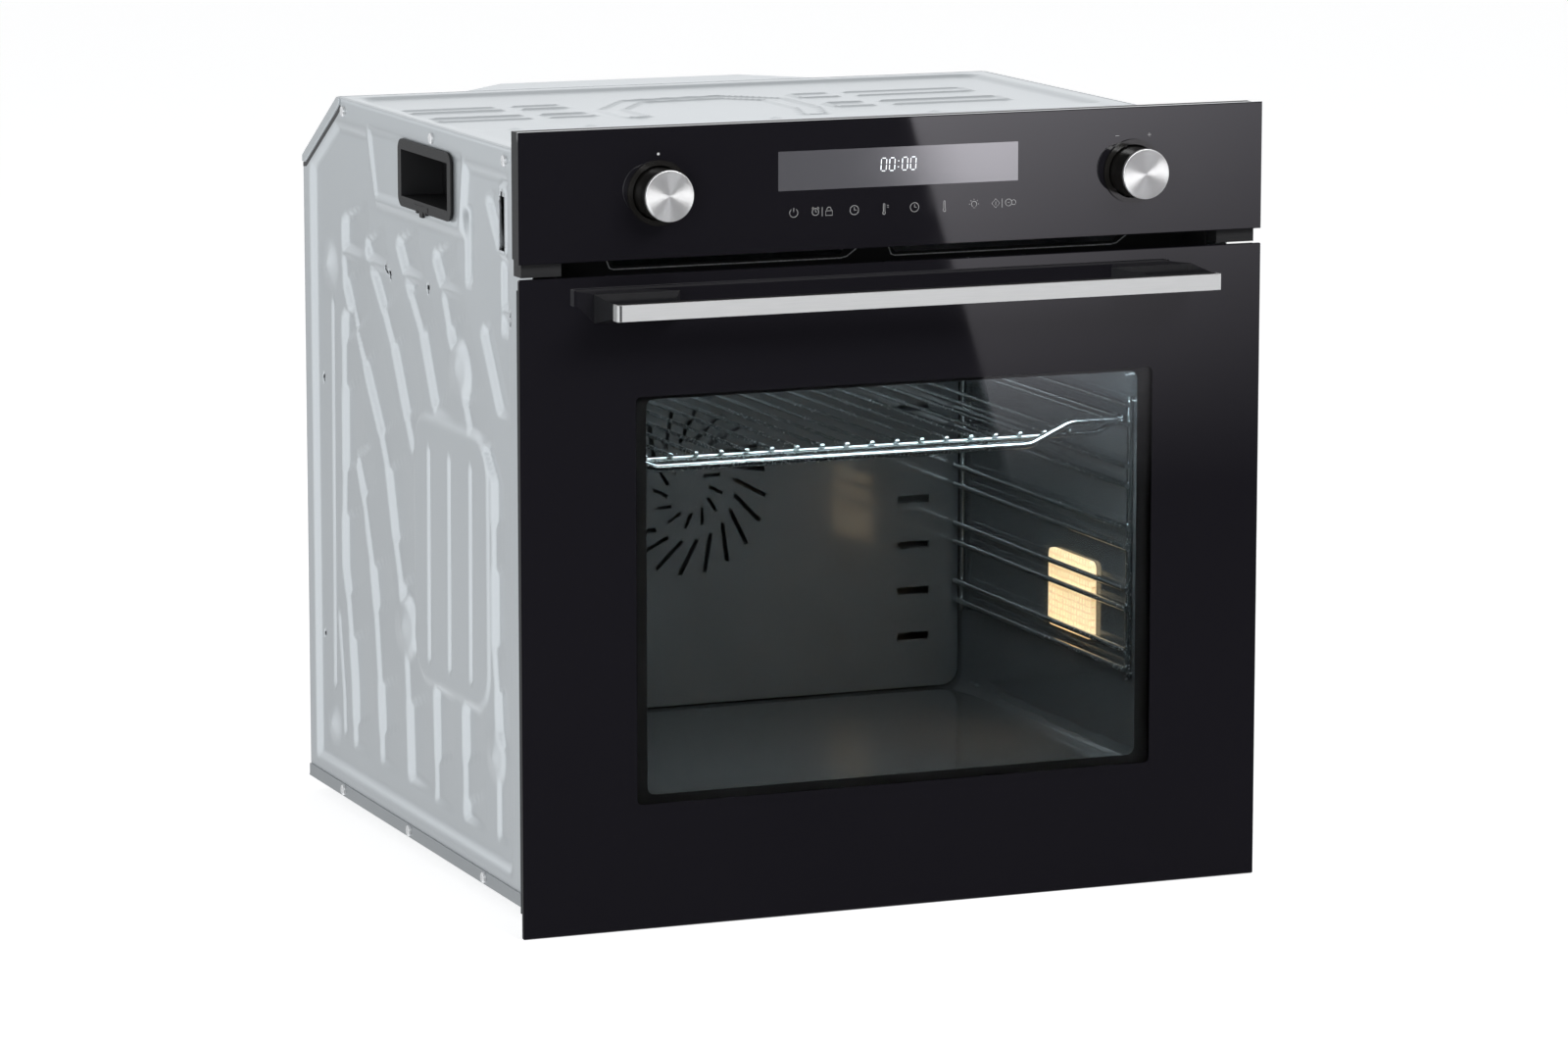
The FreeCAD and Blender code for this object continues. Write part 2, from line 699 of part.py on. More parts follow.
def blower_wheel():
    centre_d = blower_axis_depth
    centre_z = blower_axis_height

    def disc(x):
        return rod(blower_radius, point(x, centre_d, centre_z), point(x + 1.5, centre_d, centre_z))
    parts = [disc(blower_left), disc((blower_left + blower_right) / 2), disc(blower_right - 1.5)]
    parts.append(rod(blower_shaft, point(blower_left - 7, centre_d, centre_z),
                     point(blower_right + 34, centre_d, centre_z)))
    for index in range(blower_blades):
        blade = Part.makeBox(blower_right - blower_left, 1.2, 7.0, FreeCAD.Vector(blower_left, -0.6, -3.5))
        blade.rotate(FreeCAD.Vector(0, 0, 0), axis_x, 30.0)
        blade.translate(FreeCAD.Vector(0, 0, blower_radius - 4.5))
        blade.rotate(FreeCAD.Vector(0, 0, 0), axis_x, 360.0 * index / blower_blades)
        blade.translate(point(0, centre_d, centre_z))
        parts.append(blade)
    return joined(parts)


def blower_housing():
    """A scroll that draws air in from behind and blows it forwards over the door."""
    d = blower_axis_depth
    z = blower_axis_height
    reach = blower_radius + 12.0
    foot = deck_height + sheet
    box = block(blower_left - 6, blower_right + 6, d - reach, d + reach, foot, z + reach)
    drum = rod(blower_radius + 5, point(blower_left - 4, d, z), point(blower_right + 4, d, z))
    mouth = block(blower_left - 4, blower_right + 4, d - reach - 1, d, foot + 2, z - 8)
    intake = block(blower_left - 4, blower_right + 4, d, d + reach + 1, z, z + 18)
    bore = rod(blower_shaft + running, point(blower_left - 10, d, z), point(blower_right + 10, d, z))
    return cut_all(box, [drum, mouth, intake, bore])


def blower_motor():
    d = blower_axis_depth
    z = blower_axis_height
    x0 = blower_right + 8.0
    body = block(x0, x0 + 34, d - 24, d + 24, deck_height + sheet, z + 24)
    bore = rod(blower_shaft + running, point(x0 - 1, d, z), point(x0 + 30, d, z))
    return body.cut(bore)


def power_board():
    foot = deck_height + sheet
    parts = [block(-238, -150, 90, 240, foot + 8, foot + 9.6)]
    for x, d in ((-232, 96), (-156, 96), (-232, 234), (-156, 234)):
        parts.append(rod(2.5, point(x, d, foot), point(x, d, foot + 8.5)))
    for x, d, w, l, h in ((-226, 110, 18, 16, 22), (-200, 110, 18, 16, 22), (-226, 150, 30, 26, 28),
                          (-185, 150, 12, 12, 20), (-226, 195, 40, 16, 14)):
        parts.append(block(x, x + w, d, d + l, foot + 9, foot + 9 + h))
    return joined(parts)


def terminal_box():
    """Where the supply lead ends, just inside the back cover."""
    foot = deck_height + sheet
    box = block(gland_x - 26, gland_x + 26, body_depth - 95, body_depth - 45, foot, foot + 34)
    posts = [block(gland_x - 20 + i * 15, gland_x - 10 + i * 15, body_depth - 46, body_depth - 36, foot, foot + 16)
             for i in range(3)]
    return joined([box] + posts)


outlet_depth = 38.0


def air_outlet():
    """The duct that lets cooling air out over the door, with two long mouths at its rear."""
    half = half_body - 17.0
    foot = frame_top
    head = panel_bottom + 4.0
    outer = block(-half, half, 0, outlet_depth + sheet, foot, head)
    cuts = [block(-half + 1.5, half - 1.5, -1, outlet_depth, foot + 1.5, head - 1.5)]
    for side in (-1, 1):
        near = side * 11.0
        far = side * 211.0
        cuts.append(facing([(near + side * 12, foot + 9), (far - side * 8, foot + 9),
                            (far, head - 4), (near, head - 4)], outlet_depth - 2, 5.0))
    return cut_all(outer, cuts)


def slot_end():
    """The small block that closes the end of the air slot."""
    x1 = half_front - 3.5
    return block(x1 - 31.0, x1, -16.0, -fit, door_top + 0.8, panel_bottom + 2.0)


# ---------------------------------------------------------------- the control panel

carrier_wall = 2.5
carrier_top = panel_top - 1.0
carrier_foot = panel_bottom + 2.0
carrier_half = half_front - 2.5


def knob_places():
    return [-knob_spacing / 2, knob_spacing / 2]


def panel_glass():
    glass = block(-half_front, half_front, -front_depth, glass_back, panel_bottom, panel_top)
    glass = glass.makeChamfer(0.6, [e for e in glass.Edges if abs(e.CenterOfMass.y - front_y + front_depth) < 0.01])
    holes = [rod(bezel_radius - 1.2 + fit, point(x, -30, knob_height), point(x, 0, knob_height))
             for x in knob_places()]
    return cut_all(glass, holes)


def panel_carrier():
    outer = block(-carrier_half, carrier_half, glass_back, 0, carrier_foot, carrier_top)
    inner = block(-carrier_half + carrier_wall, carrier_half - carrier_wall, glass_back + carrier_wall, 2,
                  carrier_foot + carrier_wall, carrier_top - carrier_wall)
    cuts = [inner]
    for x in knob_places():
        cuts.append(rod(bezel_radius - 1.2 + fit, point(x, -30, knob_height), point(x, 0, knob_height)))
    cuts.append(block(-display_width / 2, display_width / 2, -30, -10, display_middle - display_height / 2,
                      display_middle + display_height / 2))
    return cut_all(outer, cuts)


def display_module():
    front = glass_back + carrier_wall
    return block(-display_width / 2 - 4, display_width / 2 + 4, front, front + 7.0,
                 display_middle - display_height / 2 - 3, display_middle + display_height / 2 + 3)


def control_board():
    near = glass_back + carrier_wall + 7.0
    board = block(-115, 115, near, near + 1.6, carrier_foot + 6, carrier_top - 6)
    chips = [block(x, x + 16, near + 1.5, near + 4.5, panel_bottom + 30, panel_bottom + 46) for x in (-80, -20, 50)]
    return joined([board] + chips)


well_depth = 1.0


def knob_well(x):
    """The fixed cup and ring round a knob, into which the pressed knob sinks."""
    lip = rod(bezel_radius, point(x, -front_depth - 1.5, knob_height), point(x, -front_depth, knob_height))
    tube = rod(bezel_radius - 1.2, point(x, -front_depth - 1.0, knob_height), point(x, well_depth, knob_height))
    inner = rod(knob_radius + 0.7, point(x, -front_depth - 2, knob_height), point(x, well_depth - 2, knob_height))
    hole = rod(6.6, point(x, -5, knob_height), point(x, well_depth + 1, knob_height))
    return lip.fuse(tube).cut(inner).cut(hole)


hub_radius = 6.0
cap_thickness = 3.0
shaft_tip = -front_depth + 1.0


def knob_skirt(x):
    """The dark side wall and the hub that slides along the shaft."""
    face = -front_depth - knob_stand
    rear = -front_depth
    wall = rod(knob_radius - 0.5, point(x, face + cap_thickness, knob_height), point(x, rear, knob_height))
    hollow = rod(knob_radius - 2.5, point(x, face + cap_thickness + 2, knob_height), point(x, rear + 1, knob_height))
    hub = rod(hub_radius, point(x, face + cap_thickness + 1, knob_height),
              point(x, shaft_tip + 17, knob_height))
    bore = rod(knob_shaft + running, point(x, face + cap_thickness + 2, knob_height),
               point(x, shaft_tip + 20, knob_height))
    return wall.cut(hollow).fuse(hub).cut(bore)


def knob_cap(x):
    face = -front_depth - knob_stand
    cap = rod(knob_radius, point(x, face, knob_height), point(x, face + cap_thickness, knob_height))
    front_edge = [e for e in cap.Edges if abs(e.CenterOfMass.y - (front_y + face)) < 0.01]
    return cap.makeChamfer(0.6, front_edge)


def selector_shaft(x):
    return rod(knob_shaft, point(x, shaft_tip, knob_height), point(x, shaft_end, knob_height))


def selector_switch(x):
    """The rotary switch behind a knob."""
    near = shaft_tip + 17 + knob_travel + 1.0
    body = block(x - 14, x + 14, near, near + 16, knob_height - 14, knob_height + 14)
    legs = [block(x + a - 2, x + a + 2, well_depth, near + 1, knob_height + b - 2, knob_height + b + 2)
            for a in (-11, 11) for b in (-11, 11)]
    bore = rod(knob_shaft + running, point(x, near - 2, knob_height), point(x, near + 17, knob_height))
    return joined([body] + legs).cut(bore)


# ---------------------------------------------------------------- the door

handle_screw_x = handle_length / 2 - 30.0
handle_screw = 2.5


def handle_screw_holes(radius, d0, d1):
    return [rod(radius, point(x, d0, handle_middle), point(x, d1, handle_middle))
            for x in (-handle_screw_x, handle_screw_x)]


def outer_glass():
    glass = block(-half_front, half_front, -front_depth, glass_back, door_bottom, door_top)
    glass = glass.makeChamfer(0.6, [e for e in glass.Edges if abs(e.CenterOfMass.y - front_y + front_depth) < 0.01])
    return cut_all(glass, handle_screw_holes(handle_screw + 0.5, -front_depth - 1, glass_back + 1))


middle_glass_back = inner_glass_back - inner_glass_thickness - 2.5
groove = 8.0
rail_foot = profile_foot
rail_head = profile_top


def middle_glass():
    return block(-profile_inner + 12, profile_inner - 12, middle_glass_back - middle_glass_thickness,
                 middle_glass_back, rail_foot + door_rail_height - groove, rail_head - door_rail_height + groove)


def inner_glass():
    return block(-profile_inner + fit, profile_inner - fit, inner_glass_back - inner_glass_thickness,
                 inner_glass_back, rail_foot + door_rail_height - groove, rail_head - door_rail_height + groove)


def door_rail(z0, z1, groove_low, groove_high):
    """The cross member between the side profiles, with a groove for each inner pane."""
    rail = block(-profile_inner, profile_inner, glass_back, profile_back, z0, z1)
    panes = []
    for back, thick, half in ((middle_glass_back, middle_glass_thickness, profile_inner - 12),
                              (inner_glass_back, inner_glass_thickness, profile_inner - fit)):
        panes.append(block(-half - fit, half + fit, back - thick - 0.2, back + 0.2, groove_low, groove_high))
    return cut_all(rail, panes)


def door_foot_rail():
    top = rail_foot + door_rail_height
    return door_rail(rail_foot, top, top - groove - 0.2, top + 1)


def door_head_rail():
    foot = rail_head - door_rail_height
    rail = door_rail(foot, rail_head, foot - 1, foot + groove + 0.2)
    pockets = handle_screw_holes(6.0, glass_back - 1, glass_back + 6)
    return cut_all(rail, pockets)


def door_side():
    """The channel down the side of the door, open towards the outer glass."""
    x0 = profile_inner
    x1 = profile_outer
    outer = block(x0, x1, glass_back, profile_back, profile_foot, profile_top)
    low_edge = [e for e in edges_along(outer, axis_x)
                if e.CenterOfMass.z < profile_foot + 1 and e.CenterOfMass.y > front_y + profile_back - 1]
    outer = outer.makeFillet(5.0, low_edge)
    hollow = block(x0 + profile_wall, x1 - profile_wall, glass_back - 1, profile_back - profile_wall,
                   profile_foot - 1, profile_top - 4)
    half = arm_thickness / 2 + 1.5
    notch = block(hinge_plane - half, hinge_plane + half, -10, 1, profile_foot - 1, 52.0)
    return outer.cut(hollow).cut(notch)


link_height = 150.0


def hinge_link():
    """The door's half of the hinge: two cheeks on the pivot pin."""
    d = -pivot_ahead
    z = pivot_height
    back = profile_back - profile_wall
    outline = [(-pivot_ahead - 3.0, z), (-pivot_ahead - 3.0, link_height), (back, link_height),
               (back, z + 10), (-pivot_ahead + 3.5, z)]
    parts = []
    for x0 in (hinge_plane - arm_thickness / 2 - 3.4, hinge_plane + arm_thickness / 2 + 0.4):
        parts.append(across(outline, x0, 3.0))
        parts.append(rod(4.2, point(x0, d, z), point(x0 + 3.0, d, z)))
    reach = arm_thickness / 2 + 3.4
    parts.append(rod(pivot_pin, point(hinge_plane - reach, d, z), point(hinge_plane + reach, d, z)))
    yoke = block(hinge_plane - reach, hinge_plane + reach, -pivot_ahead - 3.0, back, link_height - 20, link_height)
    return joined(parts + [yoke])


def hinge_springs():
    """The springs that hold the door shut, one in each side profile."""
    springs = []
    for side in (-1, 1):
        x = side * hinge_plane
        d = (glass_back + profile_back - profile_wall) / 2
        coil = rod(4.6, point(x, d, link_height + 10), point(x, d, link_height + 150))
        bore = rod(3.2, point(x, d, link_height + 12), point(x, d, link_height + 148))
        lead = rod(1.4, point(x, d, link_height), point(x, d, link_height + 11))
        springs.append(coil.cut(bore).fuse(lead))
    return Part.makeCompound(springs)


def handle_bar():
    half = handle_length / 2
    front = -front_depth - handle_reach + 2.0
    return block(-half + 1.5, half - 1.5, front, front + handle_bar_depth, handle_middle - handle_height / 2 + 0.5,
                 handle_middle + handle_height / 2 - 0.5)


def handle_facing():
    """The brushed strip on the front of the bar, with its ends turned back."""
    half = handle_length / 2
    front = -front_depth - handle_reach
    low = handle_middle - handle_height / 2
    high = handle_middle + handle_height / 2
    strip = block(-half, half, front, front + 2.0, low, high)
    upright = [e for e in edges_along(strip, axis_z) if e.CenterOfMass.y < front_y + front + 0.1]
    strip = strip.makeFillet(1.6, upright)
    ends = [block(x0, x0 + 1.5, front + 1.8, front + 9.0, low, high) for x0 in (-half, half - 1.5)]
    return joined([strip] + ends)


def handle_foot_piece():
    """The block between the glass and the end of the bar, wider where it meets the glass."""
    half = handle_length / 2
    outer = half - 1.5
    bar_back = -front_depth - handle_reach + 2.0 + handle_bar_depth
    rings = []
    for d, inner, low, high, out in ((-front_depth, outer - handle_foot, 13.0, 8.0, outer + 1.0),
                                     (bar_back, outer - handle_foot + 18, 5.5, 5.5, outer)):
        corners = [point(inner, d, handle_middle - low), point(out, d, handle_middle - low),
                   point(out, d, handle_middle + high), point(inner, d, handle_middle + high)]
        rings.append(Part.makePolygon(corners + corners[:1]))
    foot = Part.makeLoft(rings, True, True)
    return cut_all(foot, handle_screw_holes(handle_screw + running, -front_depth - 14, -front_depth + 1))


def handle_screws():
    screws = []
    for x in (-handle_screw_x, handle_screw_x):
        head = rod(5.0, point(x, glass_back, handle_middle), point(x, glass_back + 2.4, handle_middle))
        shank = rod(handle_screw, point(x, -front_depth - 12, handle_middle), point(x, glass_back + 1, handle_middle))
        screws.append(head.fuse(shank))
    return Part.makeCompound(screws)


# ---------------------------------------------------------------- every node, by name

pieces = {
    "side_panel_right": side_panel(),
    "base_tray": base_tray(),
    "top_cover": top_cover(),
    "rear_duct_cover": rear_duct_cover(),
    "back_cover": back_cover(),
    "cable_gland": cable_gland(),
    "grip_recesses": both_sides(grip_recess()),
    "body_screws": body_screws(),
    "front_frame": front_frame(),
    "door_gasket": door_gasket(),
    "hinge_receivers": both_sides(hinge_receiver()),
    "hinge_arms": both_sides(hinge_arm()),
    "cavity_liner": cavity_liner(),
    "insulation_blanket": insulation_blanket(),
    "cavity_back_panel": cavity_back_panel(),
    "convection_fan": convection_fan(),
    "fan_motor": fan_motor(),
    "ring_element": ring_element(),
    "grill_element": grill_element(),
    "bottom_element": bottom_element(),
    "lamp_lens": lamp_lens(),
    "lamp_holder": lamp_holder(),
    "lamp_bulb": lamp_bulb(),
    "side_rails": both_sides(side_rail()),
    "wire_shelf": wire_shelf(),
    "temperature_probe": temperature_probe(),
    "electronics_deck": electronics_deck(),
    "blower_wheel": blower_wheel(),
    "blower_housing": blower_housing(),
    "blower_motor": blower_motor(),
    "power_board": power_board(),
    "terminal_box": terminal_box(),
    "air_outlet": air_outlet(),
    "slot_ends": both_sides(slot_end()),
    "knob_wells": both_sides(knob_well(knob_spacing / 2)),
    "selector_switches": both_sides(selector_switch(knob_spacing / 2)),
    "panel_glass": panel_glass(),
    "panel_carrier": panel_carrier(),
    "display_module": display_module(),
    "control_board": control_board(),
    "outer_glass": outer_glass(),
    "middle_glass": middle_glass(),
    "inner_glass": inner_glass(),
    "door_foot_rail": door_foot_rail(),
    "door_head_rail": door_head_rail(),
    "door_side_right": door_side(),
    "hinge_links": both_sides(hinge_link()),
    "hinge_springs": hinge_springs(),
    "handle_bar": handle_bar(),
    "handle_facing": handle_facing(),
    "handle_feet": both_sides(handle_foot_piece()),
    "handle_screws": handle_screws(),
}

# The left-hand pieces are mirror images of the right-hand ones.
for name in [name for name in pieces if name.endswith("_right")]:
    pieces[name.replace("_right", "_left")] = mirrored(pieces[name])

for side, x in zip(("left", "right"), knob_places()):
    pieces["knob_skirt_" + side] = knob_skirt(x)
    pieces["knob_cap_" + side] = knob_cap(x)
    pieces["selector_shaft_" + side] = selector_shaft(x)

os.makedirs("parts", exist_ok=True)
for name, shape in sorted(pieces.items()):
    solids = shape.Solids
    state = "ok" if solids and all(s.isValid() and s.isClosed() for s in solids) else "BROKEN"
    print(f"{name:24s} {state} solids {len(solids)} volume {shape.Volume / 1000:10.1f} cm3")
    shape.exportStep(f"parts/{name}.step")
print(len(pieces), "nodes")
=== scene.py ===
import bpy
import numpy as np
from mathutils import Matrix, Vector
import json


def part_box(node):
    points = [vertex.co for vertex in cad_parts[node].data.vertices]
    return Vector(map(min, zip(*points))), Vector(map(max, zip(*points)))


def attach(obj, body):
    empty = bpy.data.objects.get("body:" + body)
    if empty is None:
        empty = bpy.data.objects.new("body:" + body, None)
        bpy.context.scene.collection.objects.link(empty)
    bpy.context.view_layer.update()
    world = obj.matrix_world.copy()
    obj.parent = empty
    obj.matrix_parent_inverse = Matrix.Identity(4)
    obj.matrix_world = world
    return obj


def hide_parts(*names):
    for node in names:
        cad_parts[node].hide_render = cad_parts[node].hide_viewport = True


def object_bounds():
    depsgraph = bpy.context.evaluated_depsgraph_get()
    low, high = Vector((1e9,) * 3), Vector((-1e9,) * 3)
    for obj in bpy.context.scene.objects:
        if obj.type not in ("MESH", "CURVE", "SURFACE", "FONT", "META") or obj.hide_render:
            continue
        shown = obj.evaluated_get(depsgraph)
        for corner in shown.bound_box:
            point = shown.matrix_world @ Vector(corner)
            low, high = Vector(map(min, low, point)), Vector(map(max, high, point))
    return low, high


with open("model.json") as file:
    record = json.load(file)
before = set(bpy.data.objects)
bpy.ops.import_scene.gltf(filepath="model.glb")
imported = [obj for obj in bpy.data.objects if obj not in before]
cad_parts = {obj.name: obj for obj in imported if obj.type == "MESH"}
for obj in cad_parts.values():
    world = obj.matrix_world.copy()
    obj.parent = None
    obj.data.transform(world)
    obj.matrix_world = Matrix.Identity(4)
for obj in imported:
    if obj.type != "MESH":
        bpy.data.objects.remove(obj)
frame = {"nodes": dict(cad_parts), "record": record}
nodes = frame["nodes"]
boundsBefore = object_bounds()
mm = 0.001
print("frame loaded with", len(nodes), "nodes")

# Places below are in millimetres: x to the right, d behind the cabinet's front plane, z up.
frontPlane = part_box("front_frame")[1].y / mm


def nodeBox(name):
    low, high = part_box(name)
    return low / mm, high / mm


# Mesh building

def makePiece(name, verts, faces, body, material, hides=(), smooth=False, uv=None):
    mesh = bpy.data.meshes.new(name)
    mesh.from_pydata((np.asarray(verts, float) * mm).tolist(), [], [list(f) for f in faces])
    mesh.update()
    if smooth:
        mesh.polygons.foreach_set("use_smooth", np.ones(len(mesh.polygons), bool))
    if uv is not None:
        layer = mesh.uv_layers.new(name="UVMap")
        corner = np.zeros(len(mesh.loops), np.int32)
        mesh.loops.foreach_get("vertex_index", corner)
        layer.data.foreach_set("uv", np.asarray(uv, np.float32)[corner].ravel())
    obj = bpy.data.objects.new(name, mesh)
    bpy.context.scene.collection.objects.link(obj)
    mesh.materials.append(material)
    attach(obj, body)
    if hides:
        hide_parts(*hides)
    return obj


def solidify(obj, thickness, offset):
    mod = obj.modifiers.new("wall", "SOLIDIFY")
    mod.thickness = thickness * mm
    mod.offset = offset
    mod.use_even_offset = False
    return obj


def bevel(obj, width, segments=2):
    mod = obj.modifiers.new("edge", "BEVEL")
    mod.width = width * mm
    mod.segments = segments
    mod.limit_method = "ANGLE"
    return obj


# quads between neighbouring rows and columns of a grid of points, wrapped round where asked
def gridFaces(rows, columns, wrapRows=False, wrapColumns=False, flip=False):
    i = np.arange(rows if wrapRows else rows - 1)
    j = np.arange(columns if wrapColumns else columns - 1)
    i, j = np.meshgrid(i, j, indexing="ij")
    nextI = (i + 1) % rows
    nextJ = (j + 1) % columns
    quads = np.stack([i * columns + j, nextI * columns + j,
                      nextI * columns + nextJ, i * columns + nextJ], -1)
    quads = quads.reshape(-1, 4)
    return quads[:, ::-1] if flip else quads


# a rounded rectangle's outline: each corner is an arc of steps points about its own centre
def roundedLoop(x0, x1, z0, z1, radius, steps=5):
    angle = np.linspace(0, np.pi / 2, steps)
    centres = np.array([[x1 - radius, z1 - radius], [x0 + radius, z1 - radius],
                        [x0 + radius, z0 + radius], [x1 - radius, z0 + radius]])
    turn = angle[None, :] + np.arange(4)[:, None] * np.pi / 2
    x = centres[:, 0:1] + radius * np.cos(turn)
    z = centres[:, 1:2] + radius * np.sin(turn)
    return np.stack([x.ravel(), z.ravel()], -1)


# rings of x, z points set one behind another at depths d: the last ring joins the first,
# or both ends are capped
def ringSolid(rings, closed):
    count = len(rings[0][0])
    verts = np.concatenate([np.column_stack([loop[:, 0], np.full(count, frontPlane + d), loop[:, 1]])
                            for loop, d in rings])
    faces = gridFaces(len(rings), count, wrapRows=closed, wrapColumns=True, flip=True).tolist()
    if not closed:
        faces.append(list(range(count)))
        faces.append(list(range(len(rings) * count - 1, (len(rings) - 1) * count - 1, -1)))
    return verts, faces


# a profile of (radius, d) pairs turned about an axis that runs front to back
def turned(profile, x, z, steps=96):
    profile = np.asarray(profile, float)
    angle = np.arange(steps) * 2 * np.pi / steps
    radius = profile[:, 0][:, None]
    verts = np.stack([x + radius * np.cos(angle), np.repeat((frontPlane + profile[:, 1])[:, None], steps, 1),
                      z + radius * np.sin(angle)], -1).reshape(-1, 3)
    faces = gridFaces(len(profile), steps, wrapColumns=True, flip=True)
    return verts, faces


# Shader building

def newMaterial(name, colour, metallic=0.0, roughness=0.5, **more):
    mat = bpy.data.materials.new(name)
    mat.use_nodes = True
    shader = mat.node_tree.nodes["Principled BSDF"]
    shader.inputs["Base Color"].default_value = (*colour, 1)
    shader.inputs["Metallic"].default_value = metallic
    shader.inputs["Roughness"].default_value = roughness
    for key, value in more.items():
        shader.inputs[key.replace("_", " ")].default_value = value
    return mat, mat.node_tree, shader


def addNode(tree, kind, **settings):
    node = tree.nodes.new(kind)
    for key, value in settings.items():
        setattr(node, key, value)
    return node


def addMath(tree, operation, a, b=None, c=None, clamp=False):
    node = addNode(tree, "ShaderNodeMath", operation=operation, use_clamp=clamp)
    for socket, value in zip(node.inputs, (a, b, c)):
        if value is None:
            continue
        if isinstance(value, (int, float)):
            socket.default_value = value
        else:
            tree.links.new(value, socket)
    return node.outputs[0]


def makeGroup(name, inputs, outputs):
    tree = bpy.data.node_groups.new(name, "ShaderNodeTree")
    for label, kind, value in inputs:
        socket = tree.interface.new_socket(label, in_out="INPUT", socket_type=kind)
        if value is not None:
            socket.default_value = value
    for label, kind in outputs:
        tree.interface.new_socket(label, in_out="OUTPUT", socket_type=kind)
    return tree, tree.nodes.new("NodeGroupInput"), tree.nodes.new("NodeGroupOutput")


floatKind = "NodeSocketFloat"
vectorKind = "NodeSocketVector"
colourKind = "NodeSocketColor"


# Grain: noise stretched along chosen axes, given out as a mask, a roughness and a bumped normal.
def makeGrainGroup():
    tree, given, out = makeGroup(
        "surfaceGrain",
        [("Stretch", vectorKind, (1, 1, 1)), ("Size", floatKind, 400.0), ("Roughness Low", floatKind, 0.3),
         ("Roughness High", floatKind, 0.5), ("Bump", floatKind, 0.1), ("Cloud Size", floatKind, 6.0)],
        [("Mask", floatKind), ("Cloud", floatKind), ("Roughness", floatKind), ("Normal", vectorKind)])
    link = tree.links.new
    coords = addNode(tree, "ShaderNodeTexCoord")
    stretched = addNode(tree, "ShaderNodeVectorMath", operation="MULTIPLY")
    link(coords.outputs["Object"], stretched.inputs[0])
    link(given.outputs["Stretch"], stretched.inputs[1])
    fine = addNode(tree, "ShaderNodeTexNoise")
    fine.inputs["Detail"].default_value = 4
    link(stretched.outputs[0], fine.inputs["Vector"])
    link(given.outputs["Size"], fine.inputs["Scale"])
    cloud = addNode(tree, "ShaderNodeTexNoise")
    cloud.inputs["Detail"].default_value = 3
    link(coords.outputs["Object"], cloud.inputs["Vector"])
    link(given.outputs["Cloud Size"], cloud.inputs["Scale"])
    slow = addMath(tree, "MULTIPLY", cloud.outputs["Fac"], 0.3)
    both = addMath(tree, "MULTIPLY_ADD", fine.outputs["Fac"], 0.7, slow)
    spread = addNode(tree, "ShaderNodeMapRange")
    link(both, spread.inputs["Value"])
    spread.inputs["From Min"].default_value = 0.3
    spread.inputs["From Max"].default_value = 0.7
    link(given.outputs["Roughness Low"], spread.inputs["To Min"])
    link(given.outputs["Roughness High"], spread.inputs["To Max"])
    bump = addNode(tree, "ShaderNodeBump")
    bump.inputs["Distance"].default_value = 0.0002
    link(given.outputs["Bump"], bump.inputs["Strength"])
    link(fine.outputs["Fac"], bump.inputs["Height"])
    link(fine.outputs["Fac"], out.inputs["Mask"])
    link(cloud.outputs["Fac"], out.inputs["Cloud"])
    link(spread.outputs[0], out.inputs["Roughness"])
    link(bump.outputs[0], out.inputs["Normal"])
    return tree


# Dust: a soft pale film that gathers on faces that look up, broken by noise.
def makeDustGroup():
    tree, given, out = makeGroup(
        "settledDust",
        [("Colour", colourKind, (0.5, 0.5, 0.5, 1)), ("Dust Colour", colourKind, (0.55, 0.53, 0.5, 1)),
         ("Amount", floatKind, 0.1), ("Size", floatKind, 30.0)],
        [("Colour", colourKind), ("Mask", floatKind)])
    link = tree.links.new
    coords = addNode(tree, "ShaderNodeTexCoord")
    geometry = addNode(tree, "ShaderNodeNewGeometry")
    axes = addNode(tree, "ShaderNodeSeparateXYZ")
    link(geometry.outputs["Normal"], axes.inputs[0])
    noise = addNode(tree, "ShaderNodeTexNoise")
    link(coords.outputs["Object"], noise.inputs["Vector"])
    link(given.outputs["Size"], noise.inputs["Scale"])
    up = addMath(tree, "MULTIPLY_ADD", axes.outputs["Z"], 0.5, 0.35, clamp=True)
    patchy = addMath(tree, "MULTIPLY", up, noise.outputs["Fac"])
    mask = addMath(tree, "MULTIPLY", patchy, given.outputs["Amount"], clamp=True)
    mix = addNode(tree, "ShaderNodeMix", data_type="RGBA")
    link(mask, mix.inputs["Factor"])
    link(given.outputs["Colour"], mix.inputs["A"])
    link(given.outputs["Dust Colour"], mix.inputs["B"])
    link(mix.outputs["Result"], out.inputs["Colour"])
    link(mask, out.inputs["Mask"])
    return tree


grainGroup = makeGrainGroup()
dustGroup = makeDustGroup()


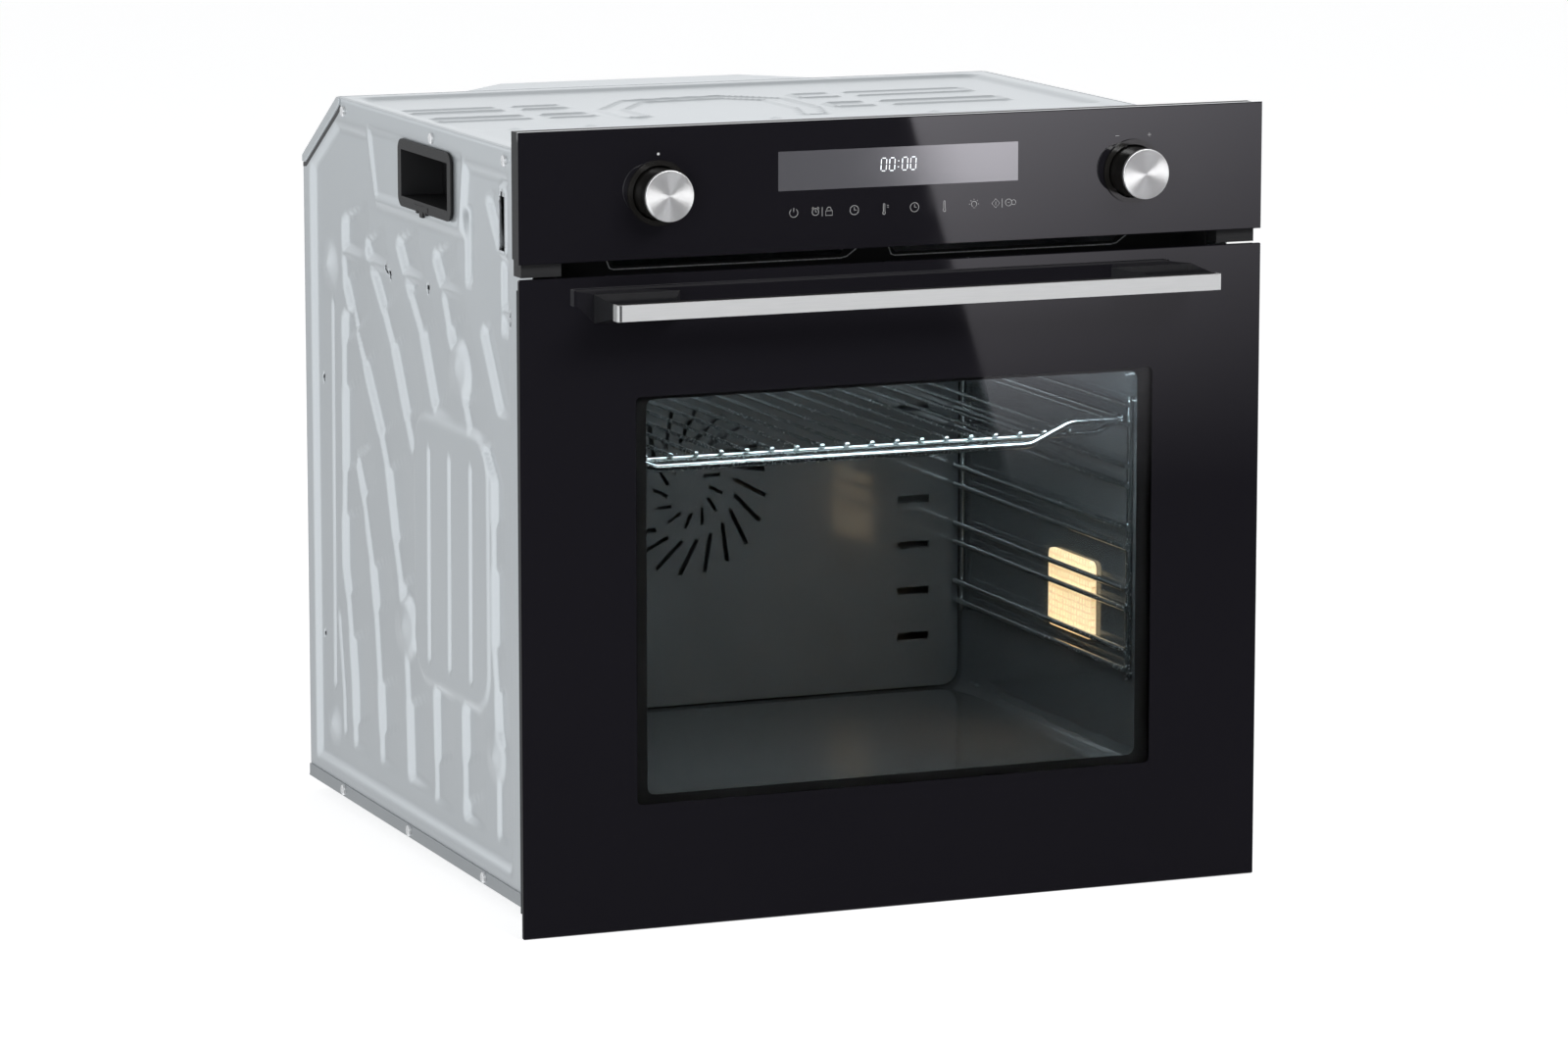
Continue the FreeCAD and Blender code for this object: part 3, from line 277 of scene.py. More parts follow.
# a material whose roughness and normal come from the grain group,
# and whose colour is clouded between two shades
def grainMaterial(name, dark, light, metallic, grain, dust=0.0, useCloud=True, **more):
    mat, tree, shader = newMaterial(name, light, metallic, grain.get("high", 0.5), **more)
    link = tree.links.new
    group = addNode(tree, "ShaderNodeGroup", node_tree=grainGroup)
    group.inputs["Stretch"].default_value = grain.get("stretch", (1, 1, 1))
    group.inputs["Size"].default_value = grain["size"]
    group.inputs["Roughness Low"].default_value = grain["low"]
    group.inputs["Roughness High"].default_value = grain["high"]
    group.inputs["Bump"].default_value = grain["bump"]
    group.inputs["Cloud Size"].default_value = grain.get("cloud", 6.0)
    mix = addNode(tree, "ShaderNodeMix", data_type="RGBA")
    link(group.outputs["Cloud" if useCloud else "Mask"], mix.inputs["Factor"])
    mix.inputs["A"].default_value = (*dark, 1)
    mix.inputs["B"].default_value = (*light, 1)
    colour = mix.outputs["Result"]
    if dust:
        film = addNode(tree, "ShaderNodeGroup", node_tree=dustGroup)
        film.inputs["Amount"].default_value = dust
        link(colour, film.inputs["Colour"])
        colour = film.outputs["Colour"]
    link(colour, shader.inputs["Base Color"])
    link(group.outputs["Roughness"], shader.inputs["Roughness"])
    link(group.outputs["Normal"], shader.inputs["Normal"])
    return mat


zincGrain = dict(stretch=(1, 0.25, 1), size=1400, low=0.3, high=0.36, bump=0.03, cloud=5.0)
zincSheet = grainMaterial("zincSheet", (0.50, 0.53, 0.55), (0.535, 0.565, 0.585), 0.5, zincGrain, dust=0.02)
# a darker copy of the side zinc for the base tray: painted shade on the tray
shadedTrayZinc = grainMaterial("shadedTrayZinc", (0.3, 0.32, 0.335), (0.37, 0.39, 0.405), 0.5, zincGrain, dust=0.02)
darkEnamel = grainMaterial("darkEnamel", (0.046, 0.052, 0.056), (0.06, 0.068, 0.073), 0.0,
                           dict(size=1500, low=0.09, high=0.16, bump=0.02, cloud=20.0), Coat_Weight=0.4)
blackGlass = grainMaterial("blackGlass", (0.0062, 0.0058, 0.0075), (0.0074, 0.0069, 0.0088), 0.0,
                           dict(size=60, low=0.018, high=0.035, bump=0.0, cloud=4.0), IOR=1.5)
blackPlastic = grainMaterial("blackPlastic", (0.012, 0.012, 0.013), (0.02, 0.02, 0.021), 0.0,
                             dict(size=2500, low=0.4, high=0.58, bump=0.25), dust=0.01,
                             Specular_IOR_Level=0.2)
greyPlastic = grainMaterial("greyPlastic", (0.06, 0.063, 0.066), (0.09, 0.094, 0.098), 0.0,
                            dict(size=2500, low=0.42, high=0.6, bump=0.25), dust=0.05)
footPlastic = grainMaterial("footPlastic", (0.009, 0.009, 0.0105), (0.013, 0.013, 0.015), 0.0,
                            dict(size=3000, low=0.24, high=0.32, bump=0.1))
blackSteel = grainMaterial("blackSteel", (0.008, 0.008, 0.009), (0.014, 0.014, 0.015), 0.2,
                           dict(size=1800, low=0.36, high=0.5, bump=0.2), dust=0.03)
bezelBlack = grainMaterial("bezelBlack", (0.007, 0.0065, 0.006), (0.013, 0.012, 0.011), 0.0,
                           dict(size=1500, low=0.14, high=0.24, bump=0.05), Coat_Weight=0.3)
brushedAluminium = grainMaterial("brushedAluminium", (0.5, 0.505, 0.51), (0.64, 0.64, 0.64), 0.45,
                                 dict(stretch=(0.012, 1, 1), size=3600, low=0.34, high=0.44, bump=0.12,
                                      cloud=3.0),
                                 useCloud=False)
screwSteel = grainMaterial("screwSteel", (0.66, 0.67, 0.68), (0.8, 0.81, 0.82), 0.4,
                           dict(size=1400, low=0.22, high=0.36, bump=0.1))
heaterSteel = grainMaterial("heaterSteel", (0.1, 0.09, 0.085), (0.19, 0.175, 0.16), 0.9,
                            dict(size=700, low=0.3, high=0.5, bump=0.2))
fanSteel = grainMaterial("fanSteel", (0.06, 0.062, 0.065), (0.1, 0.104, 0.108), 1.0,
                         dict(size=900, low=0.28, high=0.42, bump=0.1))
wireChrome = grainMaterial("wireChrome", (0.5, 0.53, 0.54), (0.64, 0.67, 0.68), 1.0,
                           dict(size=600, low=0.18, high=0.3, bump=0.05))
sealRubber = grainMaterial("sealRubber", (0.03, 0.03, 0.032), (0.05, 0.05, 0.053), 0.0,
                           dict(size=2000, low=0.55, high=0.75, bump=0.3))
mineralWool = grainMaterial("mineralWool", (0.42, 0.36, 0.22), (0.62, 0.56, 0.4), 0.0,
                            dict(stretch=(1, 0.2, 1), size=900, low=0.85, high=1.0, bump=1.0),
                            useCloud=False)
boardGreen = grainMaterial("boardGreen", (0.02, 0.1, 0.04), (0.04, 0.16, 0.07), 0.0,
                           dict(size=1200, low=0.25, high=0.4, bump=0.1))
displayFilm = grainMaterial("displayFilm", (0.062, 0.061, 0.068), (0.074, 0.073, 0.08), 0.0,
                            dict(size=5000, low=0.05, high=0.09, bump=0.02), IOR=2.3)
innerPrint = grainMaterial("innerPrint", (0.012, 0.012, 0.013), (0.02, 0.019, 0.018), 0.0,
                           dict(size=3000, low=0.3, high=0.4, bump=0.05))
iconInk = grainMaterial("iconInk", (0.36, 0.36, 0.36), (0.44, 0.44, 0.44), 0.0,
                        dict(size=3000, low=0.5, high=0.6, bump=0.0))


def glassMaterial(name, colour, roughness, ior=1.45):
    mat, tree, shader = newMaterial(name, colour, 0.0, roughness, Transmission_Weight=1.0, IOR=ior)
    group = addNode(tree, "ShaderNodeGroup", node_tree=grainGroup)
    group.inputs["Size"].default_value = 40
    group.inputs["Roughness Low"].default_value = roughness
    group.inputs["Roughness High"].default_value = roughness + 0.01
    group.inputs["Bump"].default_value = 0.0
    tree.links.new(group.outputs["Roughness"], shader.inputs["Roughness"])
    return mat


tintedPane = glassMaterial("tintedPane", (0.85, 0.87, 0.88), 0.0)
innerPane = glassMaterial("innerPane", (0.96, 0.98, 0.98), 0.0)


def glowMaterial(name, colour, glow, strength):
    mat, tree, shader = newMaterial(name, colour, 0.0, 0.4, Emission_Strength=strength)
    noise = addNode(tree, "ShaderNodeTexNoise")
    noise.inputs["Scale"].default_value = 300
    mix = addNode(tree, "ShaderNodeMix", data_type="RGBA")
    tree.links.new(noise.outputs["Fac"], mix.inputs["Factor"])
    mix.inputs["A"].default_value = (*glow, 1)
    mix.inputs["B"].default_value = (*[min(1.0, c * 1.15) for c in glow], 1)
    tree.links.new(mix.outputs["Result"], shader.inputs["Emission Color"])
    return mat


digitGlow = glowMaterial("digitGlow", (0.6, 0.62, 0.65), (0.80, 0.86, 0.95), 0.95)
bulbGlow = glowMaterial("bulbGlow", (1.0, 0.8, 0.5), (1.0, 0.72, 0.36), 14.0)


# The lamp's glass: small pyramids in rows, lit warm from behind,
# so its bumps are bright and its joints darker.
def makeLensMaterial():
    mat, tree, shader = newMaterial("lampLens", (1.0, 0.85, 0.6), 0.0, 0.25, Emission_Strength=1.45)
    link = tree.links.new
    coords = addNode(tree, "ShaderNodeTexCoord")
    cells = addNode(tree, "ShaderNodeTexVoronoi", distance="CHEBYCHEV")
    cells.inputs["Scale"].default_value = 190
    cells.inputs["Randomness"].default_value = 0.15
    link(coords.outputs["Object"], cells.inputs["Vector"])
    ramp = addNode(tree, "ShaderNodeValToRGB")
    ramp.color_ramp.elements[0].color = (1.0, 0.8, 0.48, 1)
    ramp.color_ramp.elements[1].color = (0.55, 0.3, 0.1, 1)
    ramp.color_ramp.elements[1].position = 0.55
    link(cells.outputs["Distance"], ramp.inputs["Fac"])
    link(ramp.outputs["Color"], shader.inputs["Emission Color"])
    bump = addNode(tree, "ShaderNodeBump")
    bump.inputs["Strength"].default_value = 0.8
    bump.inputs["Distance"].default_value = 0.002
    link(cells.outputs["Distance"], bump.inputs["Height"])
    link(bump.outputs[0], shader.inputs["Normal"])
    return mat


lampLens = makeLensMaterial()


# Spun aluminium: rings of fine lines from the distance along the cap's profile,
# with the gloss drawn out round them.
def makeSpunMaterial():
    mat, tree, shader = newMaterial("spunAluminium", (0.92, 0.92, 0.925), 0.84, 0.34, Anisotropic=0.9)
    link = tree.links.new
    uv = addNode(tree, "ShaderNodeUVMap", uv_map="UVMap")
    axes = addNode(tree, "ShaderNodeSeparateXYZ")
    link(uv.outputs[0], axes.inputs[0])
    line = addNode(tree, "ShaderNodeTexNoise", noise_dimensions="1D")
    line.inputs["Scale"].default_value = 90
    line.inputs["Detail"].default_value = 3
    link(axes.outputs["Y"], line.inputs["W"])
    bump = addNode(tree, "ShaderNodeBump")
    bump.inputs["Strength"].default_value = 0.12
    bump.inputs["Distance"].default_value = 0.0002
    link(line.outputs["Fac"], bump.inputs["Height"])
    link(bump.outputs[0], shader.inputs["Normal"])
    spread = addNode(tree, "ShaderNodeMapRange")
    link(line.outputs["Fac"], spread.inputs["Value"])
    spread.inputs["To Min"].default_value = 0.28
    spread.inputs["To Max"].default_value = 0.4
    link(spread.outputs[0], shader.inputs["Roughness"])
    tangent = addNode(tree, "ShaderNodeTangent", direction_type="UV_MAP", uv_map="UVMap")
    link(tangent.outputs[0], shader.inputs["Tangent"])
    return mat


spunAluminium = makeSpunMaterial()
print("materials made")

finishes = {
    "zinc_sheet": zincSheet, "dark_enamel": darkEnamel, "black_glass": blackGlass, "clear_glass": innerPane,
    "lens_glass": lampLens, "brushed_aluminium": brushedAluminium, "spun_aluminium": screwSteel,
    "bezel_black": bezelBlack, "dark_grey_plastic": footPlastic, "black_plastic": blackPlastic,
    "grey_plastic": greyPlastic, "black_steel": blackSteel, "screw_steel": screwSteel,
    "heater_steel": heaterSteel, "fan_steel": fanSteel, "wire_chrome": wireChrome, "seal_rubber": sealRubber,
    "mineral_wool": mineralWool, "board_green": boardGreen, "display_light": displayFilm,
    "lamp_glow": bulbGlow,
}
for part in frame["record"]["subparts"]:
    mesh = nodes[part["node"]].data
    mesh.materials.clear()
    mesh.materials.append(finishes[part["material_slot"]])
# the base tray takes the darker zinc copy, which is painted shade; the grip recesses and slot ends are black
# plastic
darker = {"grip_recesses": blackPlastic, "slot_ends": blackPlastic, "base_tray": shadedTrayZinc}
for name, material in darker.items():
    nodes[name].data.materials[0] = material

# Relief shared by the pressed panels


def smoothStep(t):
    t = np.clip(t, 0, 1)
    return t * t * (3 - 2 * t)


# distance from a straight piece between two ends: the nearest point is the foot of the
# perpendicular, held between the ends
def nearSpan(a, b, start, end):
    wayA = end[0] - start[0]
    wayB = end[1] - start[1]
    along = ((a - start[0]) * wayA + (b - start[1]) * wayB) / (wayA ** 2 + wayB ** 2)
    along = np.clip(along, 0, 1)
    return np.hypot(a - start[0] - along * wayA, b - start[1] - along * wayB)


# distance from a polyline
def nearLine(a, b, points):
    return np.min([nearSpan(a, b, start, end) for start, end in zip(points, points[1:])], axis=0)


# signed distance to a polygon, positive inside: the least distance to any side,
# with its sign from how many sides a line to the right crosses
def insideBy(a, b, corners):
    corners = np.asarray(corners, float)
    best = np.full(a.shape, 1e9)
    inside = np.zeros(a.shape, bool)
    for (a0, b0), (a1, b1) in zip(corners, np.roll(corners, -1, 0)):
        best = np.minimum(best, nearSpan(a, b, (a0, b0), (a1, b1)))
        crosses = (b0 > b) != (b1 > b)
        reach = np.where(crosses, a0 + (b - b0) * (a1 - a0) / np.where(b1 == b0, 1, b1 - b0), -1e9)
        inside ^= crosses & (a < reach)
    return np.where(inside, best, -best)


# the same for a rectangle with rounded corners
def insideRounded(a, b, a0, a1, b0, b1, radius):
    qa = np.abs(a - (a0 + a1) / 2) - (a1 - a0) / 2 + radius
    qb = np.abs(b - (b0 + b1) / 2) - (b1 - b0) / 2 + radius
    return radius - np.hypot(np.maximum(qa, 0), np.maximum(qb, 0)) - np.minimum(np.maximum(qa, qb), 0)


# The side panels

side = dict(
    pressed=3.4, wall=1.0, grain=(2.15, 3.35),
    field=[(524, 22), (524, 502), (458, 541), (386, 541), (366, 489), (161, 488), (150, 541), (56, 541),
           (56, 22)],
    fieldEdge=7,
    # each rib: the line of its steep rear edge from top to bottom, and the heights where a new step starts
    ribs=[
        ([(453, 468), (453, 418), (428, 383), (405, 358), (366, 308), (350, 281), (333, 228), (320, 195),
          (309, 148), (304, 101), (301, 45)], [432, 418, 383, 358, 308, 281, 228, 195, 141, 103], 62),
        ([(401, 455), (356, 408), (333, 381), (303, 331), (286, 305)], [408, 381, 331], 52),
        ([(320, 465), (290, 428), (263, 400), (233, 345)], [428, 400, 349], 50),
        ([(233, 465), (216, 445), (195, 405), (176, 383), (153, 341)], [445, 413, 360], 52),
        ([(456, 391), (458, 268), (461, 225), (461, 185), (453, 165), (446, 131), (440, 95), (438, 45)],
         [370, 331, 266, 227, 165, 130, 63], 50),
        ([(433, 281), (413, 251), (393, 203), (383, 165), (375, 111), (370, 45)],
         [251, 197, 165, 105, 67], 52),
        ([(123, 331), (101, 311), (101, 278), (101, 181), (96, 148), (93, 111), (93, 41)],
         [276, 241, 183, 149, 108], 24),
        ([(240, 125), (238, 41)], [70], 46),
        ([(171, 125), (169, 41)], [84, 52], 46),
        ([(108, 521), (83, 488)], [], 16),
        ([(123, 421), (86, 365)], [], 26),
    ],
    ribDepths=(3.8, 2.1), ribWidths=(8.0, 5.0), ribFall=0.3,
    cones=[(488, 425, 22.5), (490, 53, 19), (176, 383, 25), (308, 163, 27.5), (98, 101, 22.5)],
    coneRise=3.8,
    gripZone=[(386, 552), (366, 489), (161, 488), (150, 552)], gripDrop=1.7,
    pad=(110, 281, 131, 338, 30), padRise=1.2,
    padGrooves=[246, 198, 149], grooveEnds=(146, 316), grooveLean=-0.015, creaseDeep=1.7, grooveDeep=1.9,
    rearRib=[(483, 400), (488, 83)], curvedRib=[(476, 148), (471, 120), (465, 85), (463, 48)],
    hooks=[[(156, 508), (143, 508), (143, 453), (156, 453)], [(75, 477), (46, 477), (46, 426), (75, 426)]],
    hookDeep=3.0,
    holes=[(347, 439, 3.2), (338, 436, 3.0), (245, 437, 3.0), (51, 441, 2.5), (51, 434, 2.5),
           (507, 333, 2.4), (511, 123, 2.4)],
    slotRim=[(55, 480), (77, 480), (77, 537), (55, 537)],
    slot=[(60, 486), (73, 486), (73, 524), (66.5, 532), (60, 524)],
    cornerStart=456.0, cornerFoot=511.0, gripMargin=5,
)


# the electronics deck's edge stands close behind the panel, so no dent may reach it
deckLow, deckHigh = nodeBox("electronics_deck")
deckHeight = (deckLow.z + deckHigh.z) / 2
deckClearance = -nodeBox("side_panel_left")[0].x + deckLow.x - side["wall"] - 0.1


# a narrow crease: in over 3.4 mm with its steep wall to the rear, out again over 5 mm
def creaseDepth(ahead, deep):
    return deep * np.clip(ahead / 3.4 + 0.5, 0, 1) * np.clip(1 - (ahead - 1.7) / 5, 0, 1)


# Outward height in millimetres at depth d and height z: the field is pressed in, and each rib
# is a dent in it with a steep rear edge and a long way back out to the front, in steps whose
# joints climb slightly towards the front.
def sideRelief(d, z):
    field = np.clip(insideBy(d, z, side["field"]) / side["fieldEdge"] + 0.5, 0, 1)
    height = np.zeros(d.shape)
    for line, steps, reach in side["ribs"]:
        line = np.asarray(line, float)[::-1]
        ahead = np.interp(z, line[:, 1], line[:, 0]) - d
        level = z - side["ribFall"] * np.maximum(ahead, 0)
        step = np.zeros(d.shape, int)
        for edge in steps:
            step += level < edge
        deep = np.where(step % 2 == 0, *side["ribDepths"])
        width = np.where(step % 2 == 0, *side["ribWidths"])
        rise = np.clip(ahead / width + 0.5, 0, 1)
        fall = np.clip(1 - (ahead - width / 2) / reach, 0, 1)
        ends = smoothStep((z - line[0, 1]) / 2 + 0.5) * smoothStep((line[-1, 1] - level) / 2 + 0.5)
        height = np.minimum(height, -deep * rise * fall * ends)
    for corners in side["hooks"]:
        height = np.minimum(height, -side["hookDeep"] * smoothStep(insideBy(d, z, corners) / 4 + 0.5))
    d0, d1, z0, z1, radius = side["pad"]
    pad = insideRounded(d, z, d0, d1, z0, z1, radius)
    height = np.where(pad > 0, 0, height * smoothStep(-pad / 5))
    height += side["padRise"] * smoothStep(pad / 5 + 0.5)
    foot, head = side["grooveEnds"]
    for groove in side["padGrooves"]:
        lean = groove + (z - head) * side["grooveLean"]
        ends = smoothStep((z - foot) / 3) * smoothStep((head - z) / 3)
        height -= creaseDepth(lean - d, side["grooveDeep"]) * ends
    for path in (side["rearRib"], side["curvedRib"]):
        line = np.asarray(path, float)[::-1]
        ends = smoothStep((z - line[0, 1]) / 3) * smoothStep((line[-1, 1] - z) / 3)
        height -= creaseDepth(np.interp(z, line[:, 1], line[:, 0]) - d, side["creaseDeep"]) * ends
    for d0, z0, radius in side["cones"]:
        away = np.hypot(d - d0, z - z0) / radius
        bump = side["coneRise"] * np.clip(1 - away, 0, 1) ** 1.4
        height = np.where(away < 1, height * smoothStep(away * 3 - 2) + bump, height)
    height = (height - side["pressed"]) * field
    height = np.maximum(height, -deckClearance - 4 * smoothStep((np.abs(z - deckHeight) - 2) / 5))
    height -= side["gripDrop"] * smoothStep((insideBy(d, z, side["gripZone"]) - 4) / 3.5)
    rim = insideBy(d, z, side["slotRim"])
    return np.where(rim > 0, height * smoothStep(1 - rim / 4), height)


def makeSidePanel(name, sign, node):
    low, high = nodeBox(node)
    count = (int(545 / side["grain"][0]), int(563 / side["grain"][1]))
    wallEnd = high.y - frontPlane
    depths = np.linspace(0, wallEnd, count[0])
    d, z = np.meshgrid(depths, np.linspace(low.z, high.z, count[1]), indexing="ij")
    # the sloped rear corner cuts the top rows short
    limit = np.interp(d, [side["cornerStart"], wallEnd], [high.z, side["cornerFoot"]])
    z = low.z + (z - low.z) * (limit - low.z) / (high.z - low.z)
    gripLow, gripHigh = nodeBox("grip_recesses")
    margin = side["gripMargin"]
    gripFront = gripLow.y - frontPlane + margin
    gripRear = gripHigh.y - frontPlane - margin
    x = high.x if sign > 0 else low.x
    outside = abs(x)
    verts = np.stack([sign * (outside + sideRelief(d, z)), frontPlane + d, z], -1).reshape(-1, 3)
    quads = gridFaces(*d.shape, flip=sign < 0)
    midD = d.ravel()[quads].mean(1)
    midZ = z.ravel()[quads].mean(1)
    isOpen = (midD > gripFront) & (midD < gripRear)
    isOpen &= (midZ > gripLow.z + margin) & (midZ < gripHigh.z - margin)
    isOpen |= insideBy(midD, midZ, side["slot"]) > 0
    for d0, z0, radius in side["holes"]:
        isOpen |= np.hypot(midD - d0, midZ - z0) < radius
    obj = makePiece(name, verts, quads[~isOpen], "oven_body", zincSheet, [node], smooth=True)
    return solidify(obj, side["wall"], -1)


makeSidePanel("sidePressingLeft", -1, "side_panel_left")
makeSidePanel("sidePressingRight", 1, "side_panel_right")
print("side panels pressed")

# a thin plate on the side of the case: its outline in d and z, its faces at two distances from the middle
def makeSidePlate(name, sign, outline, inner, outer, material, edge=0.4):
    outline = np.asarray(outline, float)
    n = len(outline)
    verts = [(sign * x, frontPlane + d, z) for x in (inner, outer) for d, z in outline]
    area = np.sum(outline[:, 0] * np.roll(outline[:, 1], -1) - np.roll(outline[:, 0], -1) * outline[:, 1])
    flip = (area > 0) != (sign > 0)
    faces = gridFaces(2, n, wrapColumns=True, flip=not flip).tolist()
    caps = [list(range(n)), list(range(2 * n - 1, n - 1, -1))]
    faces += [c[::-1] for c in caps] if not flip else caps
    obj = makePiece(name, verts, faces, "oven_body", material)
    return bevel(obj, edge) if edge else obj


# outlines in d and z, and the distances from the middle that the plates' faces stand at
plates = dict(
    lap=[(453, 563.5), (544.5, 509), (544.5, 503.5), (537, 504.5), (455, 553.5), (447, 559), (447, 563.5)],
    # gap: a dark strip just below the corner flange's edge, painted shadow in the gap between flange and
    # panel
    gap=[(447, 558.5), (455, 553), (537, 504), (544.5, 503), (544.5, 499.5), (536, 500.5), (453, 549.5),
         (444, 556)],
    tab=[(262, 500), (262, 496), (258, 496), (258, 493.5), (254, 493.5), (254, 496), (251, 496), (249, 491),
         (243, 491), (241, 496), (238, 496), (238, 493.5), (234, 493.5), (234, 496), (230, 496), (230, 500)],
    inner=278.9, lapOuter=280.6, gapOuter=279.6, tabOuter=281.4,
)
for sideName, sideSign in (("Left", -1), ("Right", 1)):
    makeSidePlate("cornerFlange" + sideName, sideSign, plates["lap"], plates["inner"], plates["lapOuter"],
                  zincSheet)
    # the gap plate in the seal rubber finish is painted shadow along the flange's edge, not a seal
    makeSidePlate("cornerShadeStrip" + sideName, sideSign, plates["gap"], plates["inner"], plates["gapOuter"],
                  sealRubber, 0)
    makeSidePlate("gripTab" + sideName, sideSign, plates["tab"], plates["inner"], plates["tabOuter"],
                  blackPlastic)

# The top cover

top = dict(
    pressed=2.4, rib=1.35, half=2.6, grid=(148, 280), sunk=0.2,
    field=(-266, 260, 30, 440, 14), fieldEdge=9, archHalf=9, bandRise=1.8,
    bars=[(-262, -132, 326, 350), (-262, -132, 262, 284), (66, 214, 330, 358), (66, 214, 256, 284)],
    notches=[(-186, -172), (100, 114)],
    arch=[(-105, 246), (-105, 300), (-70, 352), (8, 358), (42, 328), (42, 258), (30, 216)],
    band=(178, 196), bandGaps=[(-252, -226), (-186, -168), (-50, -16), (96, 116)],
)


# Height in millimetres above the cover's top plane: a pressed field inside a rim, with the beads
# that outline bars and an arch, and a front band.
def topRelief(x, d):
    rim = smoothStep(insideRounded(x, d, *top["field"]) / top["fieldEdge"] + 0.5)
    height = np.zeros(x.shape)
    for x0, x1, d0, d1 in top["bars"]:
        bar = insideRounded(x, d, x0, x1, d0, d1, 5)
        for cut0, cut1 in top["notches"]:
            bar = np.where((x > cut0) & (x < cut1), -5, bar)
        height = np.maximum(height, top["rib"] * np.clip(1 - abs(bar) / top["half"], 0, 1))
    arch = abs(nearLine(x, d, top["arch"]) - top["archHalf"])
    height = np.maximum(height, top["rib"] * np.clip(1 - arch / top["half"], 0, 1))
    band = smoothStep((top["band"][1] - d) / 5)
    for x0, x1 in top["bandGaps"]:
        band = np.where((x > x0) & (x < x1) & (d > top["band"][0] - 4), band * 0.2, band)
    height = np.maximum(height, top["bandRise"] * band)
    return (height - top["pressed"]) * rim - top["sunk"]


def makeTopCover():
    low, high = nodeBox("top_cover")
    columns, rows = top["grid"]
    depths = np.linspace(low.y, high.y, rows) - frontPlane
    x, d = np.meshgrid(np.linspace(low.x, high.x, columns), depths, indexing="ij")
    verts = np.stack([x, frontPlane + d, high.z + topRelief(x, d)], -1).reshape(-1, 3)
    obj = makePiece("topPressing", verts, gridFaces(*x.shape), "oven_body", zincSheet,
                    ["top_cover"], smooth=True)
    return solidify(obj, side["wall"], -1)


makeTopCover()
print("top cover pressed")

# The door's outer glass

glass = dict(windowHalf=208, windowFoot=82, windowHead=386, corner=4, chamfer=0.6, gap=0.05)


def glassRings(low, high, hole=None):
    c = glass["chamfer"]
    front = low.y - frontPlane
    back = high.y - frontPlane
    face = roundedLoop(low.x + c, high.x - c, low.z + c, high.z - c, 0.6)
    edge = roundedLoop(low.x, high.x, low.z, high.z, 1.0)
    rings = [(face, front), (edge, front + c), (edge, back - c), (face, back)]
    if hole is not None:
        rings = [(hole, front)] + rings + [(hole, back)]
    return rings


def makeDoorGlass():
    low, high = nodeBox("outer_glass")
    w = glass["windowHalf"]
    hole = roundedLoop(-w, w, glass["windowFoot"], glass["windowHead"], glass["corner"])
    verts, faces = ringSolid(glassRings(low, high, hole), closed=True)
    makePiece("doorGlass", verts, faces, "door", blackGlass, ["outer_glass"])
    g = glass["gap"]
    pane = roundedLoop(-w + g, w - g, glass["windowFoot"] + g, glass["windowHead"] - g, glass["corner"])
    verts, faces = ringSolid([(pane, low.y - frontPlane), (pane, high.y - frontPlane)], closed=False)
    makePiece("doorWindow", verts, faces, "door", tintedPane)


makeDoorGlass()


# the printed border on the second pane, seen as a darker band inside the window
border = dict(half=198, foot=88, head=383, corner=6, sideEdge=1, endEdge=9, front=0.2, back=0.05)


def makeInnerPrint():
    low, high = nodeBox("middle_glass")
    front = low.y - frontPlane - border["front"]
    back = low.y - frontPlane - border["back"]
    hole = roundedLoop(-border["half"], border["half"], border["foot"], border["head"], border["corner"])
    edge = roundedLoop(low.x + border["sideEdge"], high.x - border["sideEdge"],
                       low.z + border["endEdge"], high.z - border["endEdge"], border["corner"])
    verts, faces = ringSolid([(hole, front), (edge, front), (edge, back), (hole, back)], closed=True)
    makePiece("paneBorder", verts, faces, "door", innerPrint)


makeInnerPrint()

# Knobs

knob = dict(ringSteps=128, lineSteps=96, capGap=0.7, lineDepth=(0.05, 0.7), lineRadius=(0.1, 0.7))


def makeKnob(sideName):
    low, high = nodeBox("knob_cap_" + sideName)
    x = (low.x + high.x) / 2
    z = (low.z + high.z) / 2
    radius = (high.x - low.x) / 2 - knob["capGap"]
    face = low.y - frontPlane
    back = high.y - frontPlane
    rim = [(radius - 0.55, face + 0.05), (radius - 0.2, face + 0.12), (radius, face + 0.45),
           (radius, back), (0.02, back)]
    r = np.linspace(0.02, radius - 0.9, 14)
    inner = np.column_stack([r, face + 0.25 - 0.15 * r / radius])
    profile = np.vstack([inner, rim])
    verts, faces = turned(profile, x, z, knob["ringSteps"])
    # the polar map runs round the cap, so the gloss is drawn out along the turning lines
    steps = knob["ringSteps"]
    length = np.concatenate([[0], np.cumsum(np.hypot(*np.diff(profile, axis=0).T))])
    uv = np.stack([np.tile(np.arange(steps) / steps, len(profile)), np.repeat(length / radius, steps)], -1)
    makePiece("knobFace_" + sideName, verts, faces, "knob_" + sideName, spunAluminium,
              ["knob_cap_" + sideName], smooth=True, uv=uv)
    near, far = (back + depth for depth in knob["lineDepth"])
    wide, narrow = (radius - inset for inset in knob["lineRadius"])
    ring = [(wide, near), (wide, far), (narrow, far), (narrow, near), (wide, near)]
    verts, faces = turned(ring, x, z, knob["lineSteps"])
    makePiece("knobLine_" + sideName, verts, faces, "knob_" + sideName, brushedAluminium)


makeKnob("left")
makeKnob("right")
print("glass and knobs made")

